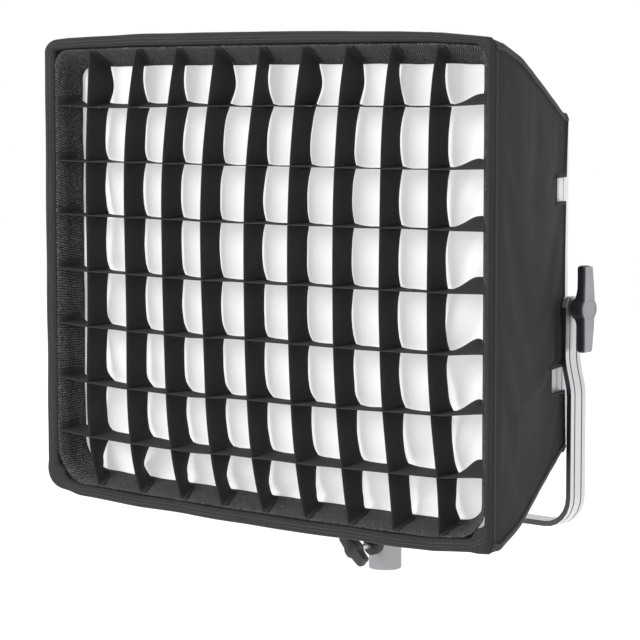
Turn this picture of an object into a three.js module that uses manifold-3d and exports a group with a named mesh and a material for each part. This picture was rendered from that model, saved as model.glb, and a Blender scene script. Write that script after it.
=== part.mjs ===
// Rectangular softbox with an egg-crate grid on an LED panel light, carried in a tilting yoke.
// Millimetres, +Z up, the softbox faces -Y. The origin is the centre of the stand socket's mouth.

import * as THREE from 'three';
import { ConvexGeometry } from 'three/addons/geometries/ConvexGeometry.js';
import { mergeVertices } from 'three/addons/utils/BufferGeometryUtils.js';
import Module from 'manifold-3d';

const wasm = await Module();
wasm.setup();

// ---------- driving dimensions ----------

const GAP = 0.3;

// Softbox, measured from the centre of its front plane, +Y towards the lamp.
const FRONT_WIDTH = 560;
const FRONT_HEIGHT = 450;
const FRONT_CORNER = 30;
const FRONT_Y = -190;
const CENTRE_Z = 293;
const HEM_WIDTH = 13;
const HEM_DEPTH = 12;
const HOOP_SIDE = 4;
const COLLAR_DEPTH = 27;
const COLLAR_TAPER = 0.22;
const SLEEVE_START = 188;
const REAR_EDGE = 194;
const SLEEVE_WIDTH = 429;
const SLEEVE_HEIGHT = 313;
const SLEEVE_CORNER = 8;
const SLEEVE_DROP = 2;
const SHEET = 1.5;
const NOTCH_HEIGHT = 22;
const NOTCH_OFFSET = 87;
const UPPER_NOTCH_START = 165.5;
const LOWER_NOTCH_START = 154;
const PIVOT_CUTOUT = 9.2;
const ROD_RADIUS = 2;
const ROD_END = 146;

// Diffuser cloth and egg-crate grid.
const GRID_COLUMNS = 10;
const GRID_ROWS = 8;
const GRID_DEPTH = 29;
const GRID_FRONT = 2;
const GRID_TAPER = 0.44;
const BAND_SHEET = 1.2;
const SLAT_SHEET = 1;
const CLOTH_SHEET = 1;
const CLOTH_CORNER = 34;

// LED panel light, measured from the centre of its frame.
const LAMP_WIDTH = 424;
const LAMP_HEIGHT = 309;
const LAMP_FRONT = -38;
const LAMP_REAR = 9;
const LAMP_CORNER = 8;
const LAMP_Z = CENTRE_Z - SLEEVE_DROP;
const WALL = 3;
const LIP = 11;

// Yoke, tilt pivot and T-handles.
const PIVOT_Z = 269;
const ARM_INNER_TOP = 220.5;
const ARM_INNER_LOW = 227;
const ARM_SHEET = 5;
const ARM_WIDTH = 22.6;
const JOG_TOP = 43;
const JOG_LOW = 80;
const YOKE_CORNER = 29;
const WASHER_RADIUS = 8.5;
const STUD_RADIUS = 4;
const HOLE_RADIUS = 4.4;

// Stand receiver and its clamp screw.
const RECEIVER_RADIUS = 16.2;
const RECEIVER_HEIGHT = 65.5;
const SOCKET_RADIUS = 8.1;
const SOCKET_DEPTH = 42;
const CLAMP_Z = 25;
const CLAMP_RADIUS = 3;
const CLAMP_HOLE = 3.4;
const CLAMP_FACE = -52;
const BUSH_RADIUS = 9.5;
const BUSH_FRONT = -22;
const BUSH_REAR = -11;

// Control box on the lamp's back.
const BOX_WIDTH = 230;
const BOX_HEIGHT = 84;
const BOX_DEPTH = 34;
const BOX_WALL = 2.5;
const BOX_Z = -78;
const BOX_FRONT = LAMP_REAR + 2.6;
const BOX_REAR = BOX_FRONT + BOX_DEPTH;
const WINDOW_HALF = 36;
const WINDOW_LOW = -10;
const WINDOW_HIGH = 30;
const WINDOW_RECESS = 1.8;
const KNOB_X = 82;
const KNOB_Z = 4;
const KNOB_RADIUS = 11;
const KNOB_HEIGHT = 12;
const SHAFT_RADIUS = 3.8;
const BUTTON_X = [-16, 16];
const BUTTON_Z = -24;
const BUTTON_RADIUS = 6;
const INLET_X = -70;
const INLET_DEPTH = 17;
const SWITCH_X = -30;
const SWITCH_DEPTH = 16;
const SWITCH_TILT = -7;

// ---------- materials ----------

function finish(color, roughness, metalness) {
  return new THREE.MeshStandardMaterial({ color, roughness, metalness });
}

const BLACK_NYLON = finish(0x3c3c3e, 0.85, 0);
const BLACK_RIBBON = finish(0x242223, 0.9, 0);
const WHITE_CLOTH = finish(0xf2f2f2, 0.9, 0);
const SILVER = finish(0xc4c7ca, 0.35, 0.9);
const STEEL = finish(0xa8acb0, 0.3, 1);
const SPRING_STEEL = finish(0x8a8d90, 0.35, 1);
const BLACK_PLASTIC = finish(0x202122, 0.5, 0);
const GREY_PLASTIC = finish(0x8f9196, 0.5, 0);
const BLACK_RUBBER = finish(0x191919, 0.8, 0);
const OPAL = finish(0xf4f4f0, 0.4, 0);
const BOARD_WHITE = finish(0xe8e8e4, 0.6, 0);
const BOARD_GREEN = finish(0x1f5a3c, 0.6, 0);
const DARK_GLASS = finish(0x0c0f14, 0.1, 0);
const GLASS_FIBRE = finish(0xd8d2b8, 0.5, 0);

// ---------- solids ----------

function solid(geometry) {
  const bare = geometry.clone();
  for (const name of Object.keys(bare.attributes)) {
    if (name !== 'position') bare.deleteAttribute(name);
  }
  const merged = mergeVertices(bare, 1e-4);
  const vertProperties = new Float32Array(merged.attributes.position.array);
  const triVerts = new Uint32Array(merged.index.array);
  return new wasm.Manifold(new wasm.Mesh({ numProp: 3, vertProperties, triVerts }));
}

function geometryOf(manifold) {
  const mesh = manifold.getMesh();
  const geometry = new THREE.BufferGeometry();
  geometry.setAttribute('position', new THREE.BufferAttribute(new Float32Array(mesh.vertProperties), 3));
  geometry.setIndex(new THREE.BufferAttribute(new Uint32Array(mesh.triVerts), 1));
  geometry.computeVertexNormals();
  return geometry;
}

function cut(geometry, ...tools) {
  let result = solid(geometry);
  for (const tool of tools) result = result.subtract(solid(tool));
  return geometryOf(result);
}

function join(geometry, ...others) {
  let result = solid(geometry);
  for (const other of others) result = result.add(solid(other));
  return geometryOf(result);
}

function common(geometry, ...others) {
  let result = solid(geometry);
  for (const other of others) result = result.intersect(solid(other));
  return geometryOf(result);
}

// ---------- primitive shapes ----------

// A box from its lowest corner to its highest.
function boxBetween(low, high) {
  const size = high.map((value, i) => value - low[i]);
  const middle = high.map((value, i) => (value + low[i]) / 2);
  return new THREE.BoxGeometry(...size).translate(...middle);
}

function polygon(points) {
  return new THREE.Shape(points.map(([a, b]) => new THREE.Vector2(a, b)));
}

function circle(radius, segments = 24) {
  const points = [];
  for (let i = 0; i < segments; i += 1) {
    const angle = (2 * Math.PI * i) / segments;
    points.push([radius * Math.cos(angle), radius * Math.sin(angle)]);
  }
  return points;
}

// Points of a rectangle with round corners, given its half sizes.
function roundedRectangle(halfWidth, halfHeight, radius, steps = 4) {
  const points = [];
  const corners = [[1, 1, 0], [-1, 1, 90], [-1, -1, 180], [1, -1, 270]];
  for (const [sx, sz, start] of corners) {
    for (let i = 0; i <= steps; i += 1) {
      const angle = THREE.MathUtils.degToRad(start + (90 * i) / steps);
      const x = sx * (halfWidth - radius) + radius * Math.cos(angle);
      const z = sz * (halfHeight - radius) + radius * Math.sin(angle);
      points.push([x, z]);
    }
  }
  return points;
}

const PLANE_XZ = new THREE.Matrix4().makeBasis(
  new THREE.Vector3(1, 0, 0),
  new THREE.Vector3(0, 0, 1),
  new THREE.Vector3(0, -1, 0),
);
const PLANE_YZ = new THREE.Matrix4().makeBasis(
  new THREE.Vector3(0, 1, 0),
  new THREE.Vector3(0, 0, 1),
  new THREE.Vector3(1, 0, 0),
);

function extrude(shape, depth) {
  return new THREE.ExtrudeGeometry(shape, { depth, bevelEnabled: false, curveSegments: 8 });
}

// A shape drawn in X and Y, from z0 to z1.
function alongZ(shape, z0, z1) {
  return extrude(shape, z1 - z0).translate(0, 0, z0);
}

// A shape drawn in X and Z, from y0 to y1.
function alongY(shape, y0, y1) {
  return extrude(shape, y1 - y0).applyMatrix4(PLANE_XZ).translate(0, y1, 0);
}

// A shape drawn in Y and Z, from x0 to x1.
function alongX(shape, x0, x1) {
  return extrude(shape, x1 - x0).applyMatrix4(PLANE_YZ).translate(x0, 0, 0);
}

function discAlongX(radius, x0, x1, segments) {
  return alongX(polygon(circle(radius, segments)), x0, x1);
}

function discAlongY(radius, y0, y1, segments) {
  return alongY(polygon(circle(radius, segments)), y0, y1);
}

function discAlongZ(radius, z0, z1, segments) {
  return alongZ(polygon(circle(radius, segments)), z0, z1);
}

// A turned piece on the Z axis: points are [radius, height], running up the outside.
function turned(points, segments = 32) {
  return new THREE.LatheGeometry(points.map(([r, z]) => new THREE.Vector2(r, z)), segments)
    .rotateX(Math.PI / 2);
}

function piece(parent, name, geometry, material, position = [0, 0, 0]) {
  const mesh = new THREE.Mesh(geometry, material);
  mesh.name = name;
  mesh.position.set(...position);
  parent.add(mesh);
  return mesh;
}

function groupAt(parent, x, y, z) {
  const group = new THREE.Group();
  group.position.set(x, y, z);
  parent.add(group);
  return group;
}

// ---------- yoke and stand receiver ----------

// One side of the yoke's outer face, from the top of the arm down to the middle of the bar.
function yokeLine() {
  const top = ARM_INNER_TOP + ARM_SHEET;
  const low = ARM_INNER_LOW + ARM_SHEET;
  const line = [];
  line.push([top, PIVOT_Z + ARM_WIDTH / 2]);
  line.push([top, PIVOT_Z - JOG_TOP]);
  const jogSteps = 6;
  for (let i = 1; i < jogSteps; i += 1) {
    const t = i / jogSteps;
    const ease = t * t * (3 - 2 * t);
    line.push([top + (low - top) * ease, PIVOT_Z - JOG_TOP - (JOG_LOW - JOG_TOP) * t]);
  }
  line.push([low, PIVOT_Z - JOG_LOW]);
  const cornerSteps = 6;
  for (let i = 0; i <= cornerSteps; i += 1) {
    const angle = (-Math.PI / 2) * (i / cornerSteps);
    const x = low - YOKE_CORNER + YOKE_CORNER * Math.cos(angle);
    const z = RECEIVER_HEIGHT + GAP + YOKE_CORNER + YOKE_CORNER * Math.sin(angle);
    line.push([x, z]);
  }
  return line;
}

// The line moved inwards by a distance, keeping its ends square.
function inset(line, distance) {
  return line.map(([x, z], i) => {
    const [ax, az] = line[Math.max(i - 1, 0)];
    const [bx, bz] = line[Math.min(i + 1, line.length - 1)];
    const last = i === line.length - 1;
    const dx = last ? -1 : bx - ax;
    const dz = last ? 0 : bz - az;
    const size = Math.hypot(dx, dz);
    return [x + (dz / size) * distance, z - (dx / size) * distance];
  });
}

// The U between two depths below the outer face.
function yokeBand(from, to) {
  const outer = inset(yokeLine(), from);
  const inner = inset(yokeLine(), to);
  const mirror = (line) => line.map(([x, z]) => [-x, z]).reverse();
  return polygon([...outer, ...mirror(outer), ...mirror(inner).reverse(), ...inner.slice().reverse()]);
}

function makeYoke() {
  const half = ARM_WIDTH / 2;
  const grooveDepth = 1.2;
  const grooveHalf = 0.75;
  const grooveOffset = 5.25;
  const body = alongY(yokeBand(0, ARM_SHEET), -half, half);
  const tools = [];
  for (const side of [-1, 1]) {
    const middle = side * grooveOffset;
    tools.push(alongY(yokeBand(-1, grooveDepth), middle - grooveHalf, middle + grooveHalf));
    const centre = side * (ARM_INNER_TOP + ARM_SHEET / 2);
    const x0 = centre - 8;
    const x1 = centre + 8;
    const endBlock = boxBetween([x0, -half - 2, PIVOT_Z], [x1, half + 2, PIVOT_Z + half + 2]);
    const roundEnd = discAlongX(half, x0 - 1, x1 + 1, 32).translate(0, 0, PIVOT_Z);
    tools.push(cut(endBlock, roundEnd));
    tools.push(discAlongX(HOLE_RADIUS, x0, x1).translate(0, 0, PIVOT_Z));
  }
  tools.push(discAlongZ(HOLE_RADIUS, RECEIVER_HEIGHT - 5, RECEIVER_HEIGHT + ARM_SHEET + 5));
  return cut(body, ...tools);
}

function makeReceiver() {
  const edge = 1;
  const body = turned([
    [SOCKET_RADIUS, 0],
    [RECEIVER_RADIUS - edge, 0],
    [RECEIVER_RADIUS, edge],
    [RECEIVER_RADIUS, RECEIVER_HEIGHT - edge],
    [RECEIVER_RADIUS - edge, RECEIVER_HEIGHT],
    [SOCKET_RADIUS, RECEIVER_HEIGHT],
    [SOCKET_RADIUS, 0],
  ]);
  const crossHole = discAlongY(CLAMP_HOLE, -RECEIVER_RADIUS - 5, -4).translate(0, 0, CLAMP_Z);
  return cut(body, crossHole);
}

// The plug that closes the receiver above the socket and takes the bolt.
function makeReceiverCore() {
  const radius = SOCKET_RADIUS - GAP;
  const body = discAlongZ(radius, SOCKET_DEPTH, RECEIVER_HEIGHT, 32);
  return cut(body, discAlongZ(HOLE_RADIUS, SOCKET_DEPTH - 5, RECEIVER_HEIGHT + 5));
}

function makeReceiverBolt() {
  const headLow = RECEIVER_HEIGHT + GAP + ARM_SHEET + GAP;
  const headRadius = 7;
  const headHeight = 4.6;
  const shankLow = SOCKET_DEPTH + 4;
  return turned([
    [0, shankLow],
    [STUD_RADIUS, shankLow],
    [STUD_RADIUS, headLow],
    [headRadius, headLow],
    [headRadius, headLow + headHeight - 1],
    [headRadius - 1, headLow + headHeight],
    [0, headLow + headHeight],
  ], 24);
}

function makeClampBush() {
  const body = discAlongY(BUSH_RADIUS, BUSH_FRONT, BUSH_REAR).translate(0, 0, CLAMP_Z);
  const seat = discAlongZ(RECEIVER_RADIUS + GAP, 0, RECEIVER_HEIGHT, 32);
  const hole = discAlongY(CLAMP_HOLE, BUSH_FRONT - 2, BUSH_REAR + 2).translate(0, 0, CLAMP_Z);
  return cut(body, seat, hole);
}

// ---------- T-handles ----------

// A T-handle on the X axis, its outward face at x = 0 and its hub reaching back to x = -reach.
// Its wings lie along Z. Each wing narrows and thins from the hub to its round tip.
function makeHandle({ halfLength, tipHalf, rootHalf, hubRadius, tipThick, rootThick, reach, bore }) {
  const tipRound = 2;
  const outline = [
    [-tipHalf + tipRound, -halfLength],
    [tipHalf - tipRound, -halfLength],
    [tipHalf, -halfLength + tipRound],
    [rootHalf, -hubRadius],
    [rootHalf, hubRadius],
    [tipHalf, halfLength - tipRound],
    [tipHalf - tipRound, halfLength],
    [-tipHalf + tipRound, halfLength],
    [-tipHalf, halfLength - tipRound],
    [-rootHalf, hubRadius],
    [-rootHalf, -hubRadius],
    [-tipHalf, -halfLength + tipRound],
  ];
  const edge = 1;
  const profile = [
    [-tipThick, -halfLength],
    [-edge, -halfLength],
    [0, -halfLength + edge],
    [0, halfLength - edge],
    [-edge, halfLength],
    [-tipThick, halfLength],
    [-tipThick - 1, hubRadius * 1.6],
    [-rootThick, hubRadius * 0.8],
    [-rootThick, -hubRadius * 0.8],
    [-tipThick - 1, -hubRadius * 1.6],
  ];
  const blade = common(
    alongX(polygon(outline), -rootThick - 1, 1),
    alongY(polygon(profile), -rootHalf - 2, rootHalf + 2),
  );
  const neck = hubRadius * 0.72;
  const hub = turned([
    [0, -reach],
    [neck, -reach],
    [neck, -reach + 2],
    [hubRadius, -tipThick],
    [hubRadius, 0],
    [0, 0],
  ], 28).rotateY(Math.PI / 2);
  const hole = discAlongX(bore, -reach - 2, -edge - 4);
  return cut(join(blade, hub), hole);
}

// The flat facing on a T-handle's outward side.
function makeHandleFacing({ halfLength, tipHalf, rootHalf, hubRadius }) {
  const border = 0.4;
  const disc = discAlongX(hubRadius - border, 0, 1.2, 28);
  const tip = halfLength - 2 * border;
  const side = tipHalf - border;
  const root = rootHalf - border;
  const wings = alongX(polygon([
    [-side, -tip],
    [side, -tip],
    [root, -hubRadius],
    [root, hubRadius],
    [side, tip],
    [-side, tip],
    [-root, hubRadius],
    [-root, -hubRadius],
  ]), 0, 1.2);
  return join(wings, disc);
}

const TILT_HANDLE = {
  halfLength: 40,
  tipHalf: 6.1,
  rootHalf: 7.8,
  hubRadius: 11.2,
  tipThick: 8.6,
  rootThick: 12,
  reach: 16.8,
  bore: HOLE_RADIUS,
};

const CLAMP_HANDLE = {
  halfLength: 19,
  tipHalf: 6,
  rootHalf: 6.5,
  hubRadius: 9,
  tipThick: 8,
  rootThick: 10,
  reach: 13,
  bore: CLAMP_HOLE,
};

// ---------- LED panel light ----------

// The section of the frame's side, drawn with its outer face at u = 0 and its inside at u < 0.
// The second coordinate is Y. The outer face carries fine grooves.
function frameSection() {
  const grooves = 5;
  const pitch = (LAMP_REAR - LAMP_FRONT) / (grooves + 1);
  const points = [];
  points.push([-LIP - WALL, LAMP_FRONT]);
  points.push([0, LAMP_FRONT]);
  for (let i = 1; i <= grooves; i += 1) {
    const y = LAMP_FRONT + i * pitch;
    points.push([0, y - 0.7]);
    points.push([-0.8, y - 0.7]);
    points.push([-0.8, y + 0.7]);
    points.push([0, y + 0.7]);
  }
  points.push([0, LAMP_REAR]);
  points.push([-LIP - WALL, LAMP_REAR]);
  points.push([-LIP - WALL, LAMP_REAR - WALL]);
  points.push([-WALL, LAMP_REAR - WALL]);
  points.push([-WALL, LAMP_FRONT + WALL]);
  points.push([-LIP - WALL, LAMP_FRONT + WALL]);
  return points;
}

// A prism that keeps one side of a rectangular ring, cut at 45 degrees through its corners.
function mitre(halfLong, halfShort, vertical) {
  const reach = 60;
  const half = GAP / 2;
  const near = halfShort - reach;
  const far = halfShort + reach;
  const points = [
    [near, -(halfLong - reach) + half],
    [far, -(halfLong + reach) + half],
    [far, halfLong + reach - half],
    [near, halfLong - reach - half],
  ];
  const shape = polygon(vertical ? points : points.map(([a, b]) => [b, a]).reverse());
  return alongY(shape, LAMP_FRONT - 5, LAMP_REAR + 5);
}

function makeFrameSides(parent) {
  const halfWidth = LAMP_WIDTH / 2;
  const halfHeight = LAMP_HEIGHT / 2;
  const pivotRise = PIVOT_Z - LAMP_Z;
  const pivotHole = discAlongX(HOLE_RADIUS, halfWidth - 20, halfWidth + 5);
  const corners = roundedRectangle(halfWidth, halfHeight, LAMP_CORNER);
  const outline = alongY(polygon(corners), LAMP_FRONT - 1, LAMP_REAR + 1);
  const right = common(
    alongZ(polygon(frameSection()), -halfHeight, halfHeight).translate(halfWidth, 0, 0),
    mitre(halfHeight, halfWidth, true),
    outline,
  );
  const rightSide = cut(right, pivotHole.clone().translate(0, 0, pivotRise));
  const topBar = alongZ(polygon(frameSection()), -halfWidth, halfWidth)
    .rotateY(-Math.PI / 2)
    .translate(0, 0, halfHeight);
  const topSide = common(topBar, mitre(halfWidth, halfHeight, false), outline);
  const turn = new THREE.Matrix4().makeRotationY(Math.PI);
  piece(parent, 'lamp_frame_right', rightSide, SILVER);
  piece(parent, 'lamp_frame_top', topSide, SILVER);
  const leftHole = pivotHole.clone().applyMatrix4(turn).translate(0, 0, pivotRise);
  piece(parent, 'lamp_frame_left', cut(right.clone().applyMatrix4(turn), leftHole), SILVER);
  piece(parent, 'lamp_frame_bottom', topSide.clone().applyMatrix4(turn), SILVER);
}

function makeHeatSink() {
  const halfWidth = LAMP_WIDTH / 2 - WALL - 0.6;
  const halfHeight = LAMP_HEIGHT / 2 - WALL - 0.6;
  const base = boxBetween([-halfWidth, -11.5, -halfHeight], [halfWidth, -8.5, halfHeight]);
  const finCount = 16;
  const finHalf = 1;
  const finPitch = 22;
  const finTop = halfHeight - 14;
  const fins = [];
  for (let i = 0; i < finCount; i += 1) {
    const x = (i - (finCount - 1) / 2) * finPitch;
    fins.push(boxBetween([x - finHalf, -8.8, -finTop], [x + finHalf, LAMP_REAR - WALL - 0.5, finTop]));
  }
  return join(base, ...fins);
}

function makeRearCover() {
  const halfWidth = LAMP_WIDTH / 2 - 5;
  const halfHeight = LAMP_HEIGHT / 2 - 5;
  const plate = alongY(
    polygon(roundedRectangle(halfWidth, halfHeight, 6, 3)),
    LAMP_REAR + GAP,
    LAMP_REAR + GAP + 2,
  );
  const slots = [];
  const slotCount = 8;
  const slotPitch = 44;
  const slotHalf = 16;
  const slotHeight = 5;
  for (let i = 0; i < slotCount; i += 1) {
    const x = (i - (slotCount - 1) / 2) * slotPitch;
    for (const z of [20, 60, 100]) {
      const low = [x - slotHalf, LAMP_REAR - 2, z];
      slots.push(boxBetween(low, [x + slotHalf, LAMP_REAR + 6, z + slotHeight]));
    }
  }
  return cut(plate, ...slots);
}

// The control box: a tray with its open side against the rear cover.
function makeControlBox() {
  const half = BOX_WIDTH / 2;
  const tall = BOX_HEIGHT / 2;
  const outer = alongY(polygon(roundedRectangle(half, tall, 8, 3)), BOX_FRONT, BOX_REAR);
  const inner = alongY(
    polygon(roundedRectangle(half - BOX_WALL, tall - BOX_WALL, 6, 3)),
    BOX_FRONT - 1,
    BOX_REAR - BOX_WALL,
  );
  const tools = [inner];
  const windowLow = [-WINDOW_HALF, BOX_REAR - WINDOW_RECESS, WINDOW_LOW];
  tools.push(boxBetween(windowLow, [WINDOW_HALF, BOX_REAR + 1, WINDOW_HIGH]));
  for (const x of [-KNOB_X, KNOB_X]) {
    tools.push(discAlongY(SHAFT_RADIUS + 0.6, BOX_REAR - 5, BOX_REAR + 5).translate(x, 0, KNOB_Z));
  }
  for (const x of BUTTON_X) {
    tools.push(discAlongY(BUTTON_RADIUS + 0.4, BOX_REAR - 5, BOX_REAR + 5).translate(x, 0, BUTTON_Z));
  }
  const openings = [
    [INLET_X, BOX_FRONT + INLET_DEPTH, 14.5, 10.5],
    [SWITCH_X, BOX_FRONT + SWITCH_DEPTH, 10, 8],
  ];
  for (const [x, y, halfX, halfY] of openings) {
    tools.push(boxBetween([x - halfX, y - halfY, -tall - 1], [x + halfX, y + halfY, -tall + 4]));
  }
  return cut(outer, ...tools);
}

function makeControlKnob() {
  const edge = 1.5;
  const knob = turned([
    [0, 0],
    [KNOB_RADIUS, 0],
    [KNOB_RADIUS, KNOB_HEIGHT - edge],
    [KNOB_RADIUS - edge, KNOB_HEIGHT],
    [0, KNOB_HEIGHT],
  ], 28);
  const shaft = discAlongZ(SHAFT_RADIUS, -8, 0.5);
  return join(knob, shaft).rotateX(-Math.PI / 2);
}

function makeButton() {
  const cap = discAlongY(BUTTON_RADIUS, -BOX_WALL - 1, 1.6);
  const flange = discAlongY(BUTTON_RADIUS + 1.4, -BOX_WALL - 2, -BOX_WALL - GAP);
  return join(cap, flange);
}

function makeDriverBoard() {
  const face = BOX_FRONT + 2.6;
  const foot = face - 0.2;
  const board = boxBetween([-92, BOX_FRONT + 1, -30], [92, face, 30]);
  const transformer = boxBetween([-50, foot, -20], [-14, face + 19.4, 14]);
  const capacitor = discAlongY(8, foot, face + 21.4).translate(14, 0, -8);
  const inductor = boxBetween([38, foot, -18], [60, face + 13.4, 6]);
  return join(board, transformer, capacitor, inductor);
}

// A mains inlet let into the box's underside: a shroud with three flat pins.
function makeInlet() {
  const shroud = boxBetween([-14, -10, -2], [14, 10, 18]);
  const mouth = boxBetween([-12, -8, -4], [12, 8, 14]);
  const flange = cut(boxBetween([-18, -12, -3.5], [18, 12, -GAP]), mouth);
  const pins = [[-7, -2], [0, 2], [7, -2]].map(([x, y]) => {
    return boxBetween([x - 1, y - 2, 0], [x + 1, y + 2, 14.5]);
  });
  return join(cut(shroud, mouth), flange, ...pins);
}

// A rocker on an axis along X, its crest standing out of the box's underside.
function makeRocker() {
  return alongX(polygon([
    [-7, -0.5],
    [0, -2.2],
    [7, -0.5],
    [6.4, 6],
    [-6.4, 6],
  ]), -9, 9);
}

function makePivotStud() {
  const flange = discAlongX(5.5, LAMP_WIDTH / 2 - WALL - 5, LAMP_WIDTH / 2 - WALL - GAP);
  const rod = discAlongX(STUD_RADIUS, LAMP_WIDTH / 2 - WALL - 4, ARM_INNER_TOP + ARM_SHEET + 12);
  return join(flange, rod);
}

// ---------- softbox ----------

// Half width, half height and corner radius of the shell's outer face at a distance behind the front.
function shellSize(y) {
  const collarWidth = FRONT_WIDTH / 2 - COLLAR_TAPER * COLLAR_DEPTH;
  const collarHeight = FRONT_HEIGHT / 2 - COLLAR_TAPER * COLLAR_DEPTH;
  if (y <= COLLAR_DEPTH) {
    const closing = COLLAR_TAPER * y;
    return [FRONT_WIDTH / 2 - closing, FRONT_HEIGHT / 2 - closing, FRONT_CORNER - y * 0.2];
  }
  const t = Math.min((y - COLLAR_DEPTH) / (SLEEVE_START - COLLAR_DEPTH), 1);
  const radius = THREE.MathUtils.lerp(FRONT_CORNER - COLLAR_DEPTH * 0.2, SLEEVE_CORNER, t);
  return [
    THREE.MathUtils.lerp(collarWidth, SLEEVE_WIDTH / 2, t),
    THREE.MathUtils.lerp(collarHeight, SLEEVE_HEIGHT / 2, t),
    radius,
  ];
}

// The rear of the softbox sits a little lower than its front.
function shellDrop(y) {
  return -SLEEVE_DROP * Math.min(y / SLEEVE_START, 1);
}

// A convex block between two rounded rectangles, each [y, halfWidth, halfHeight, radius, drop].
function frustum(from, to) {
  const points = [];
  for (const [y, halfWidth, halfHeight, radius, drop] of [from, to]) {
    for (const [x, z] of roundedRectangle(halfWidth, halfHeight, radius, 3)) {
      points.push(new THREE.Vector3(x, y, z + drop));
    }
  }
  return new ConvexGeometry(points);
}

function shellBlock(y0, y1, thickness, overrun) {
  const ends = [y0, y1].map((y) => {
    const [halfWidth, halfHeight, radius] = shellSize(y);
    const corner = Math.max(radius - thickness, 2);
    return [y, halfWidth - thickness, halfHeight - thickness, corner, shellDrop(y)];
  });
  ends[0][0] -= overrun;
  ends[1][0] += overrun;
  return frustum(ends[0], ends[1]);
}

function makeShell() {
  const start = HEM_DEPTH + GAP;
  const stations = [[start, COLLAR_DEPTH], [COLLAR_DEPTH, SLEEVE_START], [SLEEVE_START, REAR_EDGE]];
  const outer = join(...stations.map(([y0, y1]) => shellBlock(y0, y1, 0, 0)));
  const inner = join(...stations.map(([y0, y1]) => shellBlock(y0, y1, SHEET, 0.01)));
  const mouth = shellBlock(start - 2, start + 1, SHEET, 0);
  const exit = shellBlock(REAR_EDGE - 1, REAR_EDGE + 3, SHEET, 0);
  return cut(outer, inner, mouth, exit);
}

// A wedge that keeps one of the shell's four panels, meeting its neighbours at the corner seams.
function wedge(side) {
  const rearZ = SLEEVE_HEIGHT / 2;
  const rearX = SLEEVE_WIDTH / 2;
  const slope = (FRONT_HEIGHT / 2 - rearZ) / (FRONT_WIDTH / 2 - rearX);
  const apex = rearX - rearZ / slope;
  const far = 400;
  const seam = (x) => rearZ + (x - rearX) * slope;
  if (side === 'top') return seamPrism([[-apex, 0], [apex, 0], [far, seam(far)], [-far, seam(far)]]);
  if (side === 'bottom') return seamPrism([[-apex, 0], [-far, -seam(far)], [far, -seam(far)], [apex, 0]]);
  const reach = seam(far - GAP);
  if (side === 'right') return seamPrism([[apex + GAP, 0], [far, -reach], [far, reach]]);
  return seamPrism([[-apex - GAP, 0], [-far, reach], [-far, -reach]]);
}

function seamPrism(points) {
  return alongY(polygon(points), -10, REAR_EDGE + 10);
}

function makePanels(parent) {
  const shell = makeShell();
  for (const side of ['top', 'bottom']) {
    piece(parent, `panel_${side}`, common(shell, wedge(side)), BLACK_NYLON);
  }
  const pivotDrop = PIVOT_Z - CENTRE_Z;
  const pivotDepth = -FRONT_Y;
  const behind = REAR_EDGE + 5;
  const notches = [[1, UPPER_NOTCH_START], [-1, LOWER_NOTCH_START]];
  for (const side of [-1, 1]) {
    const x0 = side * (SLEEVE_WIDTH / 2) - 12;
    const x1 = x0 + 24;
    const round = discAlongX(PIVOT_CUTOUT, x0, x1, 32).translate(0, pivotDepth, pivotDrop);
    const lowSide = pivotDrop - PIVOT_CUTOUT;
    const highSide = pivotDrop + PIVOT_CUTOUT;
    const tools = [round, boxBetween([x0, pivotDepth, lowSide], [x1, behind, highSide])];
    for (const [up, start] of notches) {
      const middle = up * NOTCH_OFFSET - SLEEVE_DROP;
      const low = [x0, start, middle - NOTCH_HEIGHT / 2];
      tools.push(boxBetween(low, [x1, behind, middle + NOTCH_HEIGHT / 2]));
    }
    const name = side < 0 ? 'left' : 'right';
    piece(parent, `panel_${name}`, cut(common(shell, wedge(name)), ...tools), BLACK_NYLON);
  }
}

// A flat ring between two rounded rectangles given by how far they lie inside the front outline.
function frontRing(outside, inside, y0, y1) {
  const halfWidth = FRONT_WIDTH / 2;
  const halfHeight = FRONT_HEIGHT / 2;
  const outer = roundedRectangle(halfWidth - outside, halfHeight - outside, FRONT_CORNER - outside, 6);
  const inner = roundedRectangle(halfWidth - inside, halfHeight - inside, FRONT_CORNER - inside, 6);
  const shape = polygon(outer);
  shape.holes.push(new THREE.Path(inner.map(([x, z]) => new THREE.Vector2(x, z))));
  return alongY(shape, y0, y1);
}

function makeHem() {
  const wall = 4;
  const channel = frontRing(wall, HEM_WIDTH - wall, HEM_DEPTH - 7, HEM_DEPTH + 1);
  return cut(frontRing(0, HEM_WIDTH, 0, HEM_DEPTH), channel);
}

function makeHoop() {
  const inner = (HEM_WIDTH - HOOP_SIDE) / 2;
  return frontRing(inner, inner + HOOP_SIDE, HEM_DEPTH - 6, HEM_DEPTH - 6 + HOOP_SIDE);
}

function makeCornerRod(sideX, sideZ) {
  const ends = [HEM_DEPTH + 4, ROD_END].map((y) => {
    const [halfWidth, halfHeight, radius] = shellSize(y);
    const back = radius - (radius - SHEET - ROD_RADIUS - 1) * Math.SQRT1_2;
    const x = sideX * (halfWidth - back);
    const z = sideZ * (halfHeight - back) + shellDrop(y);
    return new THREE.Vector3(x, y, z);
  });
  const path = new THREE.LineCurve3(ends[0], ends[1]);
  const section = polygon(circle(ROD_RADIUS, 10));
  return new THREE.ExtrudeGeometry(section, { steps: 1, bevelEnabled: false, extrudePath: path });
}

// ---------- grid and diffuser ----------

// Half sizes of the grid band's outer face at a distance behind the front.
function bandSize(y) {
  const closing = 0.8 + GRID_TAPER * (y - GRID_FRONT);
  return [FRONT_WIDTH / 2 - HEM_WIDTH - closing, FRONT_HEIGHT / 2 - HEM_WIDTH - closing];
}

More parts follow.
